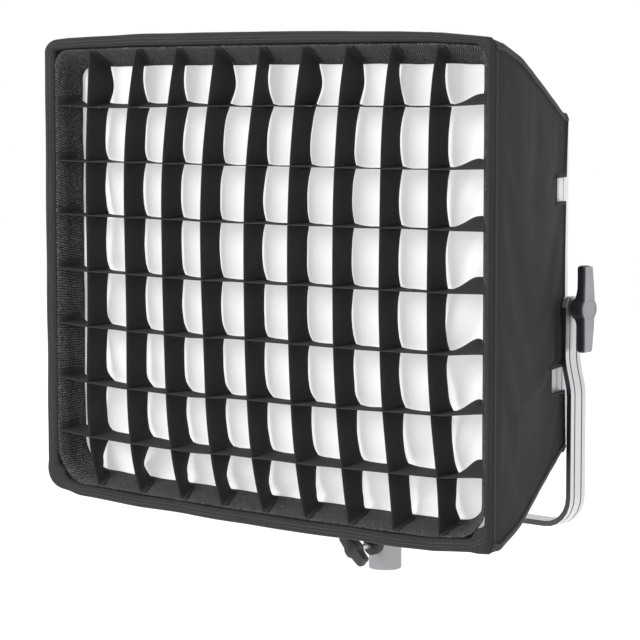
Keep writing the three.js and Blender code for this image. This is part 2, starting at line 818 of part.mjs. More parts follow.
function makeBand() {
  const y0 = GRID_FRONT;
  const y1 = GRID_FRONT + GRID_DEPTH;
  const corner = 16;
  const block = (thickness, overrun) => {
    const ends = [y0 - overrun, y1 + overrun].map((y) => {
      const [halfWidth, halfHeight] = bandSize(y);
      return [y, halfWidth - thickness, halfHeight - thickness, corner - thickness, 0];
    });
    return frustum(ends[0], ends[1]);
  };
  return cut(block(0, 0), block(BAND_SHEET, 1));
}

const COLUMN_PITCH = (FRONT_WIDTH - 2 * HEM_WIDTH) / GRID_COLUMNS;
const ROW_PITCH = (FRONT_HEIGHT - 2 * HEM_WIDTH) / GRID_ROWS;

function centredPlaces(count, pitch) {
  return Array.from({ length: count }, (_, i) => (i - (count - 1) / 2) * pitch);
}

// A slat's outline as [length, depth] pairs: a tapered strip with a half-depth slot at each crossing.
// Slots open to the front, or to the back where fromFront is false.
function slatOutline(frontHalf, rearHalf, crossings, fromFront) {
  const y0 = GRID_FRONT + 0.5;
  const y1 = GRID_FRONT + GRID_DEPTH - 0.5;
  const middle = (y0 + y1) / 2;
  const slotHalf = SLAT_SHEET / 2 + GAP;
  const slotEnd = fromFront ? middle + GAP / 2 : middle - GAP / 2;
  const slotMouth = fromFront ? y0 : y1;
  const slots = [];
  for (const place of crossings) {
    slots.push([place - slotHalf, slotMouth]);
    slots.push([place - slotHalf, slotEnd]);
    slots.push([place + slotHalf, slotEnd]);
    slots.push([place + slotHalf, slotMouth]);
  }
  const front = [[-frontHalf, y0], ...(fromFront ? slots : []), [frontHalf, y0]];
  const rear = [[-rearHalf, y1], ...(fromFront ? [] : slots), [rearHalf, y1]];
  return [...front, ...rear.reverse()];
}

function makeSlats(parent) {
  const ends = [GRID_FRONT + 0.5, GRID_FRONT + GRID_DEPTH - 0.5].map(bandSize);
  const clear = BAND_SHEET * 1.1 + 2 * GAP;
  const columns = centredPlaces(GRID_COLUMNS - 1, COLUMN_PITCH);
  const rows = centredPlaces(GRID_ROWS - 1, ROW_PITCH);
  const upright = slatOutline(ends[0][1] - clear, ends[1][1] - clear, rows, false);
  const level = slatOutline(ends[0][0] - clear, ends[1][0] - clear, columns, true);
  columns.forEach((x, i) => {
    const shape = polygon(upright.map(([length, y]) => [y, length]).reverse());
    const geometry = alongX(shape, -SLAT_SHEET / 2, SLAT_SHEET / 2);
    piece(parent, `grid_upright_${i + 1}`, geometry, BLACK_RIBBON, [x, 0, 0]);
  });
  rows.forEach((z, i) => {
    const geometry = alongZ(polygon(level), -SLAT_SHEET / 2, SLAT_SHEET / 2);
    piece(parent, `grid_level_${i + 1}`, geometry, BLACK_RIBBON, [0, 0, z]);
  });
}

function makeDiffuser() {
  const inside = HEM_WIDTH + 1;
  const halfWidth = FRONT_WIDTH / 2 - inside;
  const halfHeight = FRONT_HEIGHT / 2 - inside;
  const outline = roundedRectangle(halfWidth, halfHeight, CLOTH_CORNER, 5);
  const y0 = GRID_FRONT + GRID_DEPTH + 1.5;
  return alongY(polygon(outline), y0, y0 + CLOTH_SHEET);
}

// ---------- assembly ----------

const fixture = new THREE.Group();
fixture.name = 'softbox_fixture';

// Yoke, receiver and the parts that stay with them.
piece(fixture, 'yoke', makeYoke(), SILVER);
piece(fixture, 'stand_receiver', makeReceiver(), SILVER);
piece(fixture, 'receiver_core', makeReceiverCore(), SILVER);
piece(fixture, 'receiver_bolt', makeReceiverBolt(), STEEL);
piece(fixture, 'clamp_bush', makeClampBush(), BLACK_PLASTIC);

// Clamp screw and its knob, the knob turned so that one wing points down and to the right.
const clamp = groupAt(fixture, 0, 0, CLAMP_Z);
const screwTip = -SOCKET_RADIUS - 0.6;
piece(clamp, 'clamp_screw', discAlongY(CLAMP_RADIUS, CLAMP_FACE + 6, screwTip, 20), STEEL);
const clampPlace = [0, CLAMP_FACE, 0];
const clampKnob = piece(clamp, 'clamp_knob', makeHandle(CLAMP_HANDLE), BLACK_PLASTIC, clampPlace);
clampKnob.rotation.set(0, THREE.MathUtils.degToRad(133), -Math.PI / 2, 'YZX');

// Tilt pivots, one on each side of the lamp.
const armOuter = ARM_INNER_TOP + ARM_SHEET;
const handleFace = armOuter + 2 * GAP + TILT_HANDLE.reach;
for (const side of [-1, 1]) {
  const name = side < 0 ? 'left' : 'right';
  const pivot = groupAt(fixture, 0, 0, PIVOT_Z);
  if (side < 0) pivot.rotation.y = Math.PI;
  const washer = cut(
    discAlongX(WASHER_RADIUS, LAMP_WIDTH / 2 + GAP, ARM_INNER_TOP - GAP, 28),
    discAlongX(HOLE_RADIUS, LAMP_WIDTH / 2 - 2, ARM_INNER_TOP + 2),
  );
  piece(pivot, `friction_washer_${name}`, washer, BLACK_RUBBER);
  piece(pivot, `pivot_stud_${name}`, makePivotStud(), STEEL);
  piece(pivot, `tilt_handle_${name}`, makeHandle(TILT_HANDLE), BLACK_PLASTIC, [handleFace, 0, 0]);
  piece(
    pivot,
    `tilt_handle_facing_${name}`,
    makeHandleFacing(TILT_HANDLE),
    GREY_PLASTIC,
    [handleFace + GAP, 0, 0],
  );
}

// LED panel light.
const lamp = groupAt(fixture, 0, 0, LAMP_Z);
const insideWidth = LAMP_WIDTH / 2 - WALL - 0.6;
const insideHeight = LAMP_HEIGHT / 2 - WALL - 0.6;
makeFrameSides(lamp);
piece(
  lamp,
  'lamp_diffuser_plate',
  boxBetween(
    [-insideWidth, LAMP_FRONT + WALL + GAP, -insideHeight],
    [insideWidth, LAMP_FRONT + WALL + GAP + 2.5, insideHeight],
  ),
  OPAL,
);
piece(
  lamp,
  'led_board',
  boxBetween([-insideWidth + 8, -13.6, -insideHeight + 8], [insideWidth - 8, -12, insideHeight - 8]),
  BOARD_WHITE,
);
piece(lamp, 'heat_sink', makeHeatSink(), SILVER);
piece(lamp, 'rear_cover', makeRearCover(), BLACK_PLASTIC);

const controls = groupAt(lamp, 0, 0, BOX_Z);
piece(controls, 'control_box', makeControlBox(), BLACK_PLASTIC);
piece(
  controls,
  'display_window',
  boxBetween(
    [-WINDOW_HALF + 0.4, BOX_REAR - WINDOW_RECESS + GAP, WINDOW_LOW + 0.4],
    [WINDOW_HALF - 0.4, BOX_REAR, WINDOW_HIGH - 0.4],
  ),
  DARK_GLASS,
);
piece(controls, 'driver_board', makeDriverBoard(), BOARD_GREEN);
piece(controls, 'dimmer_knob', makeControlKnob(), BLACK_PLASTIC, [-KNOB_X, BOX_REAR + 0.5, KNOB_Z]);
piece(controls, 'colour_knob', makeControlKnob(), BLACK_PLASTIC, [KNOB_X, BOX_REAR + 0.5, KNOB_Z]);
piece(controls, 'mode_button', makeButton(), GREY_PLASTIC, [BUTTON_X[0], BOX_REAR, BUTTON_Z]);
piece(controls, 'set_button', makeButton(), GREY_PLASTIC, [BUTTON_X[1], BOX_REAR, BUTTON_Z]);
const underside = -BOX_HEIGHT / 2;
const inletPlace = [INLET_X, BOX_FRONT + INLET_DEPTH, underside];
piece(controls, 'power_inlet', makeInlet(), BLACK_PLASTIC, inletPlace);
const switchPlace = [SWITCH_X, BOX_FRONT + SWITCH_DEPTH, underside];
const powerSwitch = piece(controls, 'power_switch', makeRocker(), BLACK_PLASTIC, switchPlace);
powerSwitch.rotation.x = THREE.MathUtils.degToRad(SWITCH_TILT);

// Softbox shell.
const softbox = groupAt(fixture, 0, FRONT_Y, CENTRE_Z);
makePanels(softbox);
piece(softbox, 'front_hem', makeHem(), BLACK_NYLON);
piece(softbox, 'front_hoop', makeHoop(), SPRING_STEEL);
for (const [name, sideX, sideZ] of [
  ['top_right', 1, 1],
  ['top_left', -1, 1],
  ['bottom_right', 1, -1],
  ['bottom_left', -1, -1],
]) {
  piece(softbox, `corner_rod_${name}`, makeCornerRod(sideX, sideZ), GLASS_FIBRE);
}

// Diffuser cloth and egg-crate grid.
piece(softbox, 'diffuser_cloth', makeDiffuser(), WHITE_CLOTH);
piece(softbox, 'grid_band', makeBand(), BLACK_RIBBON);
makeSlats(softbox);

export default fixture;
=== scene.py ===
import math

import bpy
import numpy as np
from mathutils import Matrix, Vector, noise


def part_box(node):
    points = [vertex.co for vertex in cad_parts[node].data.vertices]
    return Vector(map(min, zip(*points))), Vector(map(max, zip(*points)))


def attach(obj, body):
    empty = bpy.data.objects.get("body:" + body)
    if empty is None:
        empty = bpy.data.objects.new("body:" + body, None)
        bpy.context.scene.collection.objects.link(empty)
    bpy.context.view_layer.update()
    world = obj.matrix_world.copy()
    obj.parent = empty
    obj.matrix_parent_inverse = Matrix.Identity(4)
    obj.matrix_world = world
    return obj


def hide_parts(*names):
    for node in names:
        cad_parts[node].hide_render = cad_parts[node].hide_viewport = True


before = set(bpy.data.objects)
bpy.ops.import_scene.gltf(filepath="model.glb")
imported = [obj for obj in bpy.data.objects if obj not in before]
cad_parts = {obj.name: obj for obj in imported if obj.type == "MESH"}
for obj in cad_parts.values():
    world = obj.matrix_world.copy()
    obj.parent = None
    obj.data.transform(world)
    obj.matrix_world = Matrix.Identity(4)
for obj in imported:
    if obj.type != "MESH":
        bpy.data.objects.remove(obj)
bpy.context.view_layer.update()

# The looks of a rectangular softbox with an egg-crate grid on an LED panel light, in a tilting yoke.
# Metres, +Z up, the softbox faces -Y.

MM = 0.001

# ---------- sizes taken from the frame ----------

HEM_LOW, HEM_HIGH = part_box("front_hem")
FRONT_Y = HEM_LOW.y
HALF_WIDTH = HEM_HIGH.x
HALF_HEIGHT = (HEM_HIGH.z - HEM_LOW.z) / 2
CENTRE_Z = (HEM_HIGH.z + HEM_LOW.z) / 2
HEM_DEPTH = HEM_HIGH.y - HEM_LOW.y
HEM_WIDTH = 13 * MM

# Every depth, this one too, is measured back from the front.
REAR_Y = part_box("panel_right")[1].y - FRONT_Y
SLEEVE_START = REAR_Y - 6 * MM
COLLAR_DEPTH = 27 * MM
COLLAR_TAPER = 0.22
SLEEVE_HALF_WIDTH = 214.5 * MM
SLEEVE_HALF_HEIGHT = 156.5 * MM
SLEEVE_DROP = 2 * MM
PANEL_SHEET = 1.2 * MM

PIVOT = Vector((0, 0, (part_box("friction_washer_left")[0].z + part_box("friction_washer_left")[1].z) / 2))

BAND_LOW, BAND_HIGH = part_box("grid_band")
BAND_FRONT = BAND_LOW.y - FRONT_Y
BAND_REAR = BAND_HIGH.y - FRONT_Y
BAND_TAPER = 0.44
BAND_SHEET = 1.2 * MM
COLUMNS = 9
LEVELS = 7
COLUMN_X = [sum(c.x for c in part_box(f"grid_upright_{i + 1}")) / 2 for i in range(COLUMNS)]
LEVEL_Z = [sum(c.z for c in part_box(f"grid_level_{i + 1}")) / 2 - CENTRE_Z for i in range(LEVELS)]
RIBBON_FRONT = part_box("grid_upright_1")[0].y - FRONT_Y
RIBBON_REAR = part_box("grid_upright_1")[1].y - FRONT_Y
RIBBON_SHEET = 0.9 * MM
CLOTH_LOW, CLOTH_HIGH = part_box("diffuser_cloth")

# Corner radii of the rim, in the order bottom right, top right, top left, bottom left.
BOTTOM_RIGHT, TOP_RIGHT, TOP_LEFT, BOTTOM_LEFT = range(4)
CORNER_NAMES = ("bottom_right", "top_right", "top_left", "bottom_left")
RIM_RADIUS = [26.5 * MM, 21 * MM, 14 * MM, 27 * MM]
SHELL_RADIUS = [12 * MM, 14 * MM, 13 * MM, 15 * MM]
# How much wider the rolled rim is in the middle of each corner.
RIM_FILL = [0.9, 0.6, 0.0, 0.9]
BAND_RADIUS = [24 * MM, 9 * MM, 13 * MM, 32 * MM]
REAR_RADIUS = 7 * MM
# How far behind the hem the shell's corners reach their rear radius.
RADIUS_FADE = 70 * MM


# ---------- how the slack cloth and the bent hoop lie ----------

# Places across the front, and how far the rim stands above its straight line there.
TOP_PLACES = [-280, -250, -160, -30, 100, 210, 260, 275, 280]
TOP_OUTER = [-1.0, 1.5, 4.0, 4.7, 3.4, 1.2, -3.0, -5.0, -5.5]
TOP_INNER = [0.0, 3.0, 4.6, 5.2, 5.2, 5.0, 2.6, 0.0, -1.0]
BOTTOM_PLACES = [-280, -262, -240, -150, -30, 60, 155, 212, 240, 270, 280]
BOTTOM_LIFT = [6.0, 4.5, -0.6, -2.3, -3.5, -3.5, -3.0, -2.3, 0.6, 3.7, 4.5]
DRAPE_DEPTH = 60 * MM
RIGHT_SQUEEZE = 0.42
BELLY = 3.5 * MM
# Distances from the middle near the side edges, and how far out the rim's front stands there.
RIGHT_PLACES = [260, 267, 273, 280]
RIGHT_OUT = [0, 3.5, 0.3, -3.8]
LEFT_PLACES = [260, 267, 280]
LEFT_OUT = [0, -0.5, -3.6]
# How far out the shell stands behind the rim.
BEHIND_OUT = -3.0
# How far the grid's band stands out from the rim at its front right edge and its rear left edge.
BAND_RIGHT_OUT = 2.4
BAND_LEFT_OUT = 3.8
BAND_TOP_DROP = 1.3 * MM


def near_edge(share):
    """Rises from 0 to 1 towards the top or the bottom edge of the front."""
    return ease((share - 0.72) / 0.2)


def drape(point):
    """Moves a point of the softbox from its straight place to where the slack cloth holds it."""
    x, y, z = point
    depth = y - FRONT_Y
    above = z - CENTRE_Z
    fade = 1 - ease((depth - HEM_DEPTH) / DRAPE_DEPTH)
    top = near_edge(above / HALF_HEIGHT)
    bottom = near_edge(-above / HALF_HEIGHT)
    across = min(max((above - HALF_HEIGHT + HEM_WIDTH) / HEM_WIDTH, 0), 1)
    rise = mix(np.interp(x / MM, TOP_PLACES, TOP_INNER), np.interp(x / MM, TOP_PLACES, TOP_OUTER), across)
    fall = np.interp(x / MM, BOTTOM_PLACES, BOTTOM_LIFT)
    if fall > 0:
        fall *= 1 - ease((depth - HEM_DEPTH / 2) / (14 * MM))
    belly = BELLY * ease((depth - HEM_DEPTH) / (15 * MM)) * bottom
    behind = ease((depth - HEM_DEPTH) / (6 * MM))
    right = mix(np.interp(x / MM, RIGHT_PLACES, RIGHT_OUT), BEHIND_OUT, behind) if x > 0 else 0
    left = mix(np.interp(-x / MM, LEFT_PLACES, LEFT_OUT), BEHIND_OUT, behind) if x < 0 else 0
    edge = ease((abs(x) - 215 * MM) / (40 * MM))
    close = ease((x - 255 * MM) / (15 * MM))
    squeeze = depth * RIGHT_SQUEEZE if depth < HEM_DEPTH else HEM_DEPTH * RIGHT_SQUEEZE * fade
    return (
        x + (right + left) * fade * edge * MM,
        y - max(squeeze, 0) * close,
        z + (rise * top + fall * bottom) * fade * MM - belly,
    )


def drape_grid(point):
    """Moves a point of the grid: it follows the rim, and its band stands wider at the top and the left."""
    share = min(max((point[1] - FRONT_Y - BAND_FRONT) / (BAND_REAR - BAND_FRONT), 0), 1)
    above = point[2] - CENTRE_Z
    top = near_edge(above / HALF_HEIGHT)
    left = ease((-point[0] / HALF_WIDTH - 0.8) / 0.12)
    x, y, z = drape(point)
    right = ease((point[0] / HALF_WIDTH - 0.87) / 0.07) * (1 - share)
    out = (BAND_RIGHT_OUT * right - BAND_LEFT_OUT * share * left) * MM
    return x + out, y, z - BAND_TOP_DROP * share * top


# Heights up the yoke's arm, the half width of the room inside it there, how far in front of the pivot
# the shell swings past it, and how fast the room widens beyond that.
ARM_HEIGHTS = [180 * MM, 206 * MM, PIVOT.z + 15 * MM, PIVOT.z + 35 * MM]
ARM_ROOM = [226.2 * MM, 219.8 * MM, 220.1 * MM, 240 * MM]
ARM_REACH = [34 * MM, 24 * MM, 19 * MM, 19 * MM]
ARM_WIDENING = 0.9


def clear_of_yoke(point, inside=0.0):
    """Presses a point of the shell inwards where a yoke arm would touch it."""
    x, y, z = point
    room = np.interp(z, ARM_HEIGHTS, ARM_ROOM) - inside
    room += max(-y - np.interp(z, ARM_HEIGHTS, ARM_REACH), 0) * ARM_WIDENING
    return math.copysign(min(abs(x), room), x), y, z


def move_points(obj, move):
    """Puts every vertex of a mesh where move(place) says."""
    for vertex in obj.data.vertices:
        vertex.co = move(vertex.co)
    obj.data.update()
    return obj


# ---------- meshes ----------

def wander(seed, *place, size):
    """A smooth value between about -1 and 1 that depends only on the place and the seed."""
    spot = Vector([c / size for c in place] + [0.0] * (3 - len(place)))
    return noise.noise(spot + Vector((seed * 17.3, seed * -7.1, seed * 3.7)))


def ease(value):
    """A smooth step from 0 to 1 as value goes from 0 to 1."""
    value = min(max(value, 0.0), 1.0)
    return value * value * (3 - 2 * value)


def mix(a, b, share):
    """The value a share of the way from a to b."""
    return a + (b - a) * share


def lengths(points):
    """Distance along a line of points, from its first point."""
    steps = np.linalg.norm(np.diff(points, axis=0), axis=1)
    return np.concatenate([[0], np.cumsum(steps)])


def make_object(name, verts, faces, uvs, material):
    mesh = bpy.data.meshes.new(name)
    mesh.from_pydata([tuple(v) for v in verts], [], faces)
    layer = mesh.uv_layers.new(name="cloth")
    flat = [c for face in uvs for corner in face for c in corner]
    layer.data.foreach_set("uv", flat)
    mesh.polygons.foreach_set("use_smooth", [True] * len(mesh.polygons))
    mesh.update()
    obj = bpy.data.objects.new(name, mesh)
    bpy.context.scene.collection.objects.link(obj)
    mesh.materials.append(material)
    return obj


def dress(obj, body, slot, *nodes):
    """Fastens a piece to its body and hides the CAD nodes that it stands for; slot is not used."""
    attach(obj, body)
    if nodes:
        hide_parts(*nodes)
    return obj


# For each sheet, the vertex at each (row, column).
GRID_INDEX = {}


def sheet_mesh(name, rows, material, wrap=False, gaps=None):
    """A sheet through rows of points. gaps(i, j) is true for a face that is left out."""
    rows = np.array(rows, float)
    count, across = rows.shape[:2]
    down = lengths(rows.mean(axis=1))
    middle = rows[count // 2]
    along = lengths(np.vstack([middle, middle[:1]])) if wrap else lengths(middle)
    index = {}
    verts, faces, uvs = [], [], []
    for i in range(count - 1):
        for j in range(across if wrap else across - 1):
            if gaps and gaps(i, j):
                continue
            cells = [(i, j), (i, j + 1), (i + 1, j + 1), (i + 1, j)]
            face = []
            for a, b in cells:
                key = (a, b % across)
                if key not in index:
                    index[key] = len(verts)
                    verts.append(rows[key])
                face.append(index[key])
            faces.append(face)
            uvs.append([(along[b], down[a]) for a, b in cells])
    GRID_INDEX[name] = index
    return make_object(name, verts, faces, uvs, material)


def hold(obj, grips):
    """Pins the vertices of a sheet where grips(row, column) is true, for the cloth simulation."""
    held = obj.vertex_groups.new(name="held")
    held.add([v for place, v in GRID_INDEX[obj.name].items() if grips(*place)], 1.0, "REPLACE")


def thicken(obj, thickness):
    solid = obj.modifiers.new("thickness", "SOLIDIFY")
    solid.thickness = thickness
    solid.offset = 0
    solid.use_even_offset = True
    solid.use_quality_normals = True
    return obj


def tube_faces(rings, around, closed=False):
    """Faces between rings of points that follow each other in one list."""
    faces = []
    for i in range(rings if closed else rings - 1):
        a, b = i * around, (i + 1) % rings * around
        for j in range(around):
            k = (j + 1) % around
            faces.append([a + j, a + k, b + k, b + j])
    return faces


def end_faces(rings, around):
    """Faces that close the first and the last ring of a tube."""
    first, last = range(around), range((rings - 1) * around, rings * around)
    return [list(first)[::-1], list(last)]


def sweep(name, path, outward, section, material, closed=False, size=None):
    """Carries a closed section along a path. A section point is (sideways, outward)."""
    path = np.array(path, float)
    outward = np.array(outward, float)
    count = len(path)
    rings = []
    for i in range(count):
        before = path[i - 1] if closed or i else path[0]
        after = path[(i + 1) % count] if closed or i < count - 1 else path[-1]
        tangent = after - before
        tangent /= np.linalg.norm(tangent)
        out = outward[i] - tangent * outward[i].dot(tangent)
        out /= np.linalg.norm(out)
        side = np.cross(tangent, out)
        wide, tall = size(i) if size else (1, 1)
        rings.append([path[i] + side * a * wide + out * b * tall for a, b in section])
    rings = np.array(rings)
    around = len(section)
    loop = lengths(np.array([*section, section[0]], float))
    run = lengths(np.vstack([path, path[:1]]) if closed else path)
    faces = tube_faces(count, around, closed)
    uvs = []
    for start, end in zip(run[:-1], run[1:]):
        for low, high in zip(loop[:-1], loop[1:]):
            uvs.append([(start, low), (start, high), (end, high), (end, low)])
    if not closed:
        faces += end_faces(count, around)
        uvs += [section[::-1], section]
    return make_object(name, rings.reshape(-1, 3), faces, uvs, material)


def oval(half_wide, half_tall, power, steps):
    """A closed section between an ellipse and a rectangle, running clockwise seen along the path."""
    section = []
    for i in range(steps):
        angle = -2 * math.pi * i / steps
        c, s = math.cos(angle), math.sin(angle)
        section.append((
            half_wide * math.copysign(abs(c) ** (2 / power), c),
            half_tall * math.copysign(abs(s) ** (2 / power), s),
        ))
    return section


def join_meshes(name, parts, material):
    """One object from several meshes given as (verts, faces)."""
    verts, faces = [], []
    for part_verts, part_faces in parts:
        start = len(verts)
        verts += list(part_verts)
        faces += [[start + i for i in face] for face in part_faces]
    uvs = [[(verts[i][0], verts[i][2]) for i in face] for face in faces]
    return make_object(name, verts, faces, uvs, material)


STITCH_PITCH = 3.2 * MM
STITCH_SHARE = 0.72
THREAD_RADIUS = 0.45 * MM


def stitch(start, end, outward):
    """One thread stitch, a spindle that lies between two points."""
    start, end, outward = Vector(start), Vector(end), Vector(outward)
    along = (end - start).normalized()
    side = along.cross(outward).normalized()
    up = side.cross(along).normalized()
    verts = [start - up * THREAD_RADIUS * 0.6]
    for share in (0.18, 0.82):
        centre = start.lerp(end, share)
        for i in range(5):
            angle = 2 * math.pi * i / 5
            verts.append(centre + (side * math.cos(angle) + up * math.sin(angle)) * THREAD_RADIUS)
    verts.append(end - up * THREAD_RADIUS * 0.6)
    faces = []
    for i in range(5):
        k = (i + 1) % 5
        faces.append([0, 1 + k, 1 + i])
        faces.append([1 + i, 1 + k, 6 + k, 6 + i])
        faces.append([6 + i, 6 + k, 11])
    return verts, faces


def stitch_row(name, path, outward, closed=False):
    """A row of stitches along a path that lies on the cloth."""
    path = np.array(path, float)
    outward = np.array(outward, float)
    if closed:
        path = np.vstack([path, path[:1]])
        outward = np.vstack([outward, outward[:1]])
    run = lengths(path)
    parts = []
    for i in range(int(run[-1] / STITCH_PITCH)):
        middle = (i + 0.5) * STITCH_PITCH
        half = STITCH_SHARE * STITCH_PITCH / 2
        start, end = [
            [np.interp(at, run, path[:, axis]) for axis in range(3)] for at in (middle - half, middle + half)
        ]
        out = [np.interp(middle, run, outward[:, axis]) for axis in range(3)]
        parts.append(stitch(start, end, out))
    return join_meshes(name, parts, THREAD)


def lathe(profile, origin, axis, segments):
    """Points and faces of a turned piece. A profile point is (radius, height along the axis)."""
    turn = Vector(axis).to_track_quat("Z", "Y")
    verts = []
    for radius, height in profile:
        for i in range(segments):
            angle = 2 * math.pi * i / segments
            local = Vector((radius * math.cos(angle), radius * math.sin(angle), height))
            verts.append(Vector(origin) + turn @ local)
    return verts, tube_faces(len(profile), segments) + end_faces(len(profile), segments)


# ---------- materials ----------

class Shader:
    """A Principled material whose colour, roughness and bump come from nodes."""

    def __init__(self, name, roughness=0.6, metallic=0.0, specular=0.5):
        self.material = bpy.data.materials.new(name)
        self.material.use_nodes = True
        self.tree = self.material.node_tree
        self.shader = self.tree.nodes["Principled BSDF"]
        self.shader.inputs["Roughness"].default_value = roughness
        self.shader.inputs["Metallic"].default_value = metallic
        self.shader.inputs["Specular IOR Level"].default_value = specular

    def node(self, kind, **settings):
        made = self.tree.nodes.new(kind)
        for name, value in settings.items():
            if name in made.inputs:
                made.inputs[name].default_value = value
            else:
                setattr(made, name, value)
        return made

    def link(self, output, target):
        self.tree.links.new(output, target)

    def math(self, operation, a, b=None):
        made = self.node("ShaderNodeMath", operation=operation)
        for slot, value in enumerate((a, b)):
            if value is None:
                continue
            if isinstance(value, (int, float)):
                made.inputs[slot].default_value = value
            else:
                self.link(value, made.inputs[slot])
        return made.outputs[0]

    def cloth_place(self):
        """Place on the cloth in metres, across and along its threads."""
        split = self.node("ShaderNodeSeparateXYZ")
        self.link(self.node("ShaderNodeUVMap", uv_map="cloth").outputs[0], split.inputs[0])
        return split.outputs[0], split.outputs[1]

    def cloth_vector(self):
        return self.node("ShaderNodeUVMap", uv_map="cloth").outputs[0]

    def object_vector(self):
        return self.node("ShaderNodeTexCoord").outputs["Object"]

    def noise(self, vector, scale, detail=2.0, roughness=0.5, stretch=None):
        if stretch:
            mapping = self.node("ShaderNodeMapping")
            mapping.inputs["Scale"].default_value = stretch
            self.link(vector, mapping.inputs[0])
            vector = mapping.outputs[0]
        made = self.node("ShaderNodeTexNoise", Scale=scale, Detail=detail, Roughness=roughness)
        self.link(vector, made.inputs["Vector"])
        return made.outputs[0]

    def ramp(self, value, *stops):
        """stops are (place, grey or colour)."""
        made = self.node("ShaderNodeValToRGB")
        elements = made.color_ramp.elements
        while len(elements) < len(stops):
            elements.new(0.5)
        for element, (place, colour) in zip(elements, stops):
            element.position = place
            grey = (colour,) * 3 if isinstance(colour, (int, float)) else colour
            element.color = (*grey, 1)
        self.link(value, made.inputs[0])
        return made.outputs[0]

    def colour(self, output):
        self.link(output, self.shader.inputs["Base Color"])

    def mottle(self, value, shade, dark, light, low=0.3, high=0.7):
        """Base colour between a dark and a light tint of a shade."""
        tints = [tuple(min(c * factor, 1) for c in shade) for factor in (dark, light)]
        self.colour(self.ramp(value, (low, tints[0]), (high, tints[1])))

    def roughness(self, output):
        self.link(output, self.shader.inputs["Roughness"])

    def bump(self, height, distance, strength=1.0, edge=0.0):
        made = self.node("ShaderNodeBump")
        made.inputs["Distance"].default_value = distance
        made.inputs["Strength"].default_value = strength
        self.link(height, made.inputs["Height"])
        if edge:
            self.link(self.round_edges(edge), made.inputs["Normal"])
        self.link(made.outputs[0], self.shader.inputs["Normal"])

    def round_edges(self, radius):
        made = self.node("ShaderNodeBevel", samples=6)
        made.inputs["Radius"].default_value = radius
        return made.outputs[0]

    def weave(self, pitch, lean=0.0):
        """Height of a plain weave, or of a twill where it leans."""
        u, v = self.cloth_place()
        across = self.math("MULTIPLY", u, 2 * math.pi / pitch)
        along = self.math("MULTIPLY", v, 2 * math.pi / pitch)
        if lean:
            across = self.math("ADD", across, self.math("MULTIPLY", along, lean))
        return self.math("MULTIPLY", self.math("SINE", across), self.math("SINE", along))


def nylon(name, shade, weave_pitch=1.1 * MM, worn=0.0):
    """Coated black nylon: a fine plain weave, faintly mottled."""
    made = Shader(name, roughness=0.78, specular=0.12)
    place = made.cloth_vector()
    cloud = made.noise(place, 14, 4, 0.6)
    grain = made.noise(place, 900, 2, 0.7)
    weave = made.weave(weave_pitch)
    speck = made.math("ADD", made.math("MULTIPLY", grain, 0.7), made.math("MULTIPLY", cloud, 0.3))
    made.mottle(speck, shade, 0.72 - worn * 0.1, 1.28 + worn * 0.5, 0.32, 0.68)
    made.roughness(made.ramp(cloud, (0.3, 0.66), (0.7, 0.8)))
    height = made.math("ADD", made.math("MULTIPLY", weave, 0.5), made.math("MULTIPLY", grain, 0.6))
    made.bump(height, 0.12 * MM, 0.7)
    made.shader.inputs["Sheen Weight"].default_value = 0.02
    made.shader.inputs["Sheen Roughness"].default_value = 0.5
    return made.material


def loop_tape(name):
    """Loop tape: a nap of small loops in slanting rows."""
    made = Shader(name, roughness=0.9, specular=0.2)
    place = made.cloth_vector()
    weave = made.weave(2.5 * MM, lean=0.8)
    loops = made.node("ShaderNodeTexVoronoi", Scale=760)
    made.link(place, loops.inputs["Vector"])
    loops = made.math("MULTIPLY", loops.outputs["Distance"], 0.8)
    nap = made.math("ADD", loops, made.math("MULTIPLY", weave, 0.5))
    # The colour follows the nap's height: painted shade in the gaps between the loops and a painted highlight
    # on their tips.
    gaps, sides, tips = (0.009, 0.009, 0.0095), (0.030, 0.030, 0.0315), (0.12, 0.12, 0.124)
    made.colour(made.ramp(nap, (0.05, gaps), (0.42, sides), (0.78, tips)))
    made.bump(nap, 0.5 * MM, 1.0)
    return made.material


def ribbon_cloth(name, shade):
    """Matt black ribbon with a fine rib across it."""
    made = Shader(name, roughness=0.85, specular=0.22)
    place = made.cloth_vector()
    u, _ = made.cloth_place()
    rib = made.math("SINE", made.math("MULTIPLY", u, 2 * math.pi / (0.9 * MM)))
    grain = made.noise(place, 700, 2, 0.6)
    cloud = made.noise(place, 22, 3, 0.55)
    speck = made.math("ADD", made.math("MULTIPLY", grain, 0.4), made.math("MULTIPLY", cloud, 0.6))
    made.mottle(speck, shade, 0.8, 1.2)
    made.bump(made.math("ADD", made.math("MULTIPLY", rib, 0.3), grain), 0.06 * MM, 0.6)
    return made.material


def white_cloth(name):
    """White polyester, with a painted glow over it."""
    made = Shader(name, roughness=0.85, specular=0.25)
    place = made.cloth_vector()
    weave = made.weave(0.8 * MM)
    cloud = made.noise(place, 9, 3, 0.5)
    made.colour(made.ramp(cloud, (0.3, (0.50, 0.503, 0.506)), (0.7, (0.535, 0.535, 0.535))))
    made.bump(weave, 0.05 * MM, 0.5)
    # A painted glow: the cloth gives off light of its own, which lifts its shading and flattens the shade in
    # its folds.
    made.shader.inputs["Emission Color"].default_value = (1, 1, 1, 1)
    made.shader.inputs["Emission Strength"].default_value = 0.43
    return made.material


def plain_thread(name, shade):
    made = Shader(name, roughness=0.6, specular=0.4)
    grain = made.noise(made.object_vector(), 2500, 1)
    made.mottle(grain, shade, 0.7, 1.3)
    return made.material


def plastic(name, shade, roughness=0.45, grain=1400, depth=0.05 * MM, edge=0.4 * MM):
    """Moulded plastic with a fine spark-eroded grain and softly broken edges."""
    made = Shader(name, roughness=roughness, specular=0.5)
    place = made.object_vector()
    texture = made.noise(place, grain, 2, 0.6)
    cloud = made.noise(place, 30, 3, 0.5)
    made.mottle(cloud, shade, 0.88, 1.12)
    made.roughness(made.ramp(cloud, (0.3, roughness - 0.06), (0.7, roughness + 0.06)))
    made.bump(texture, depth, 0.5, edge)
    return made.material


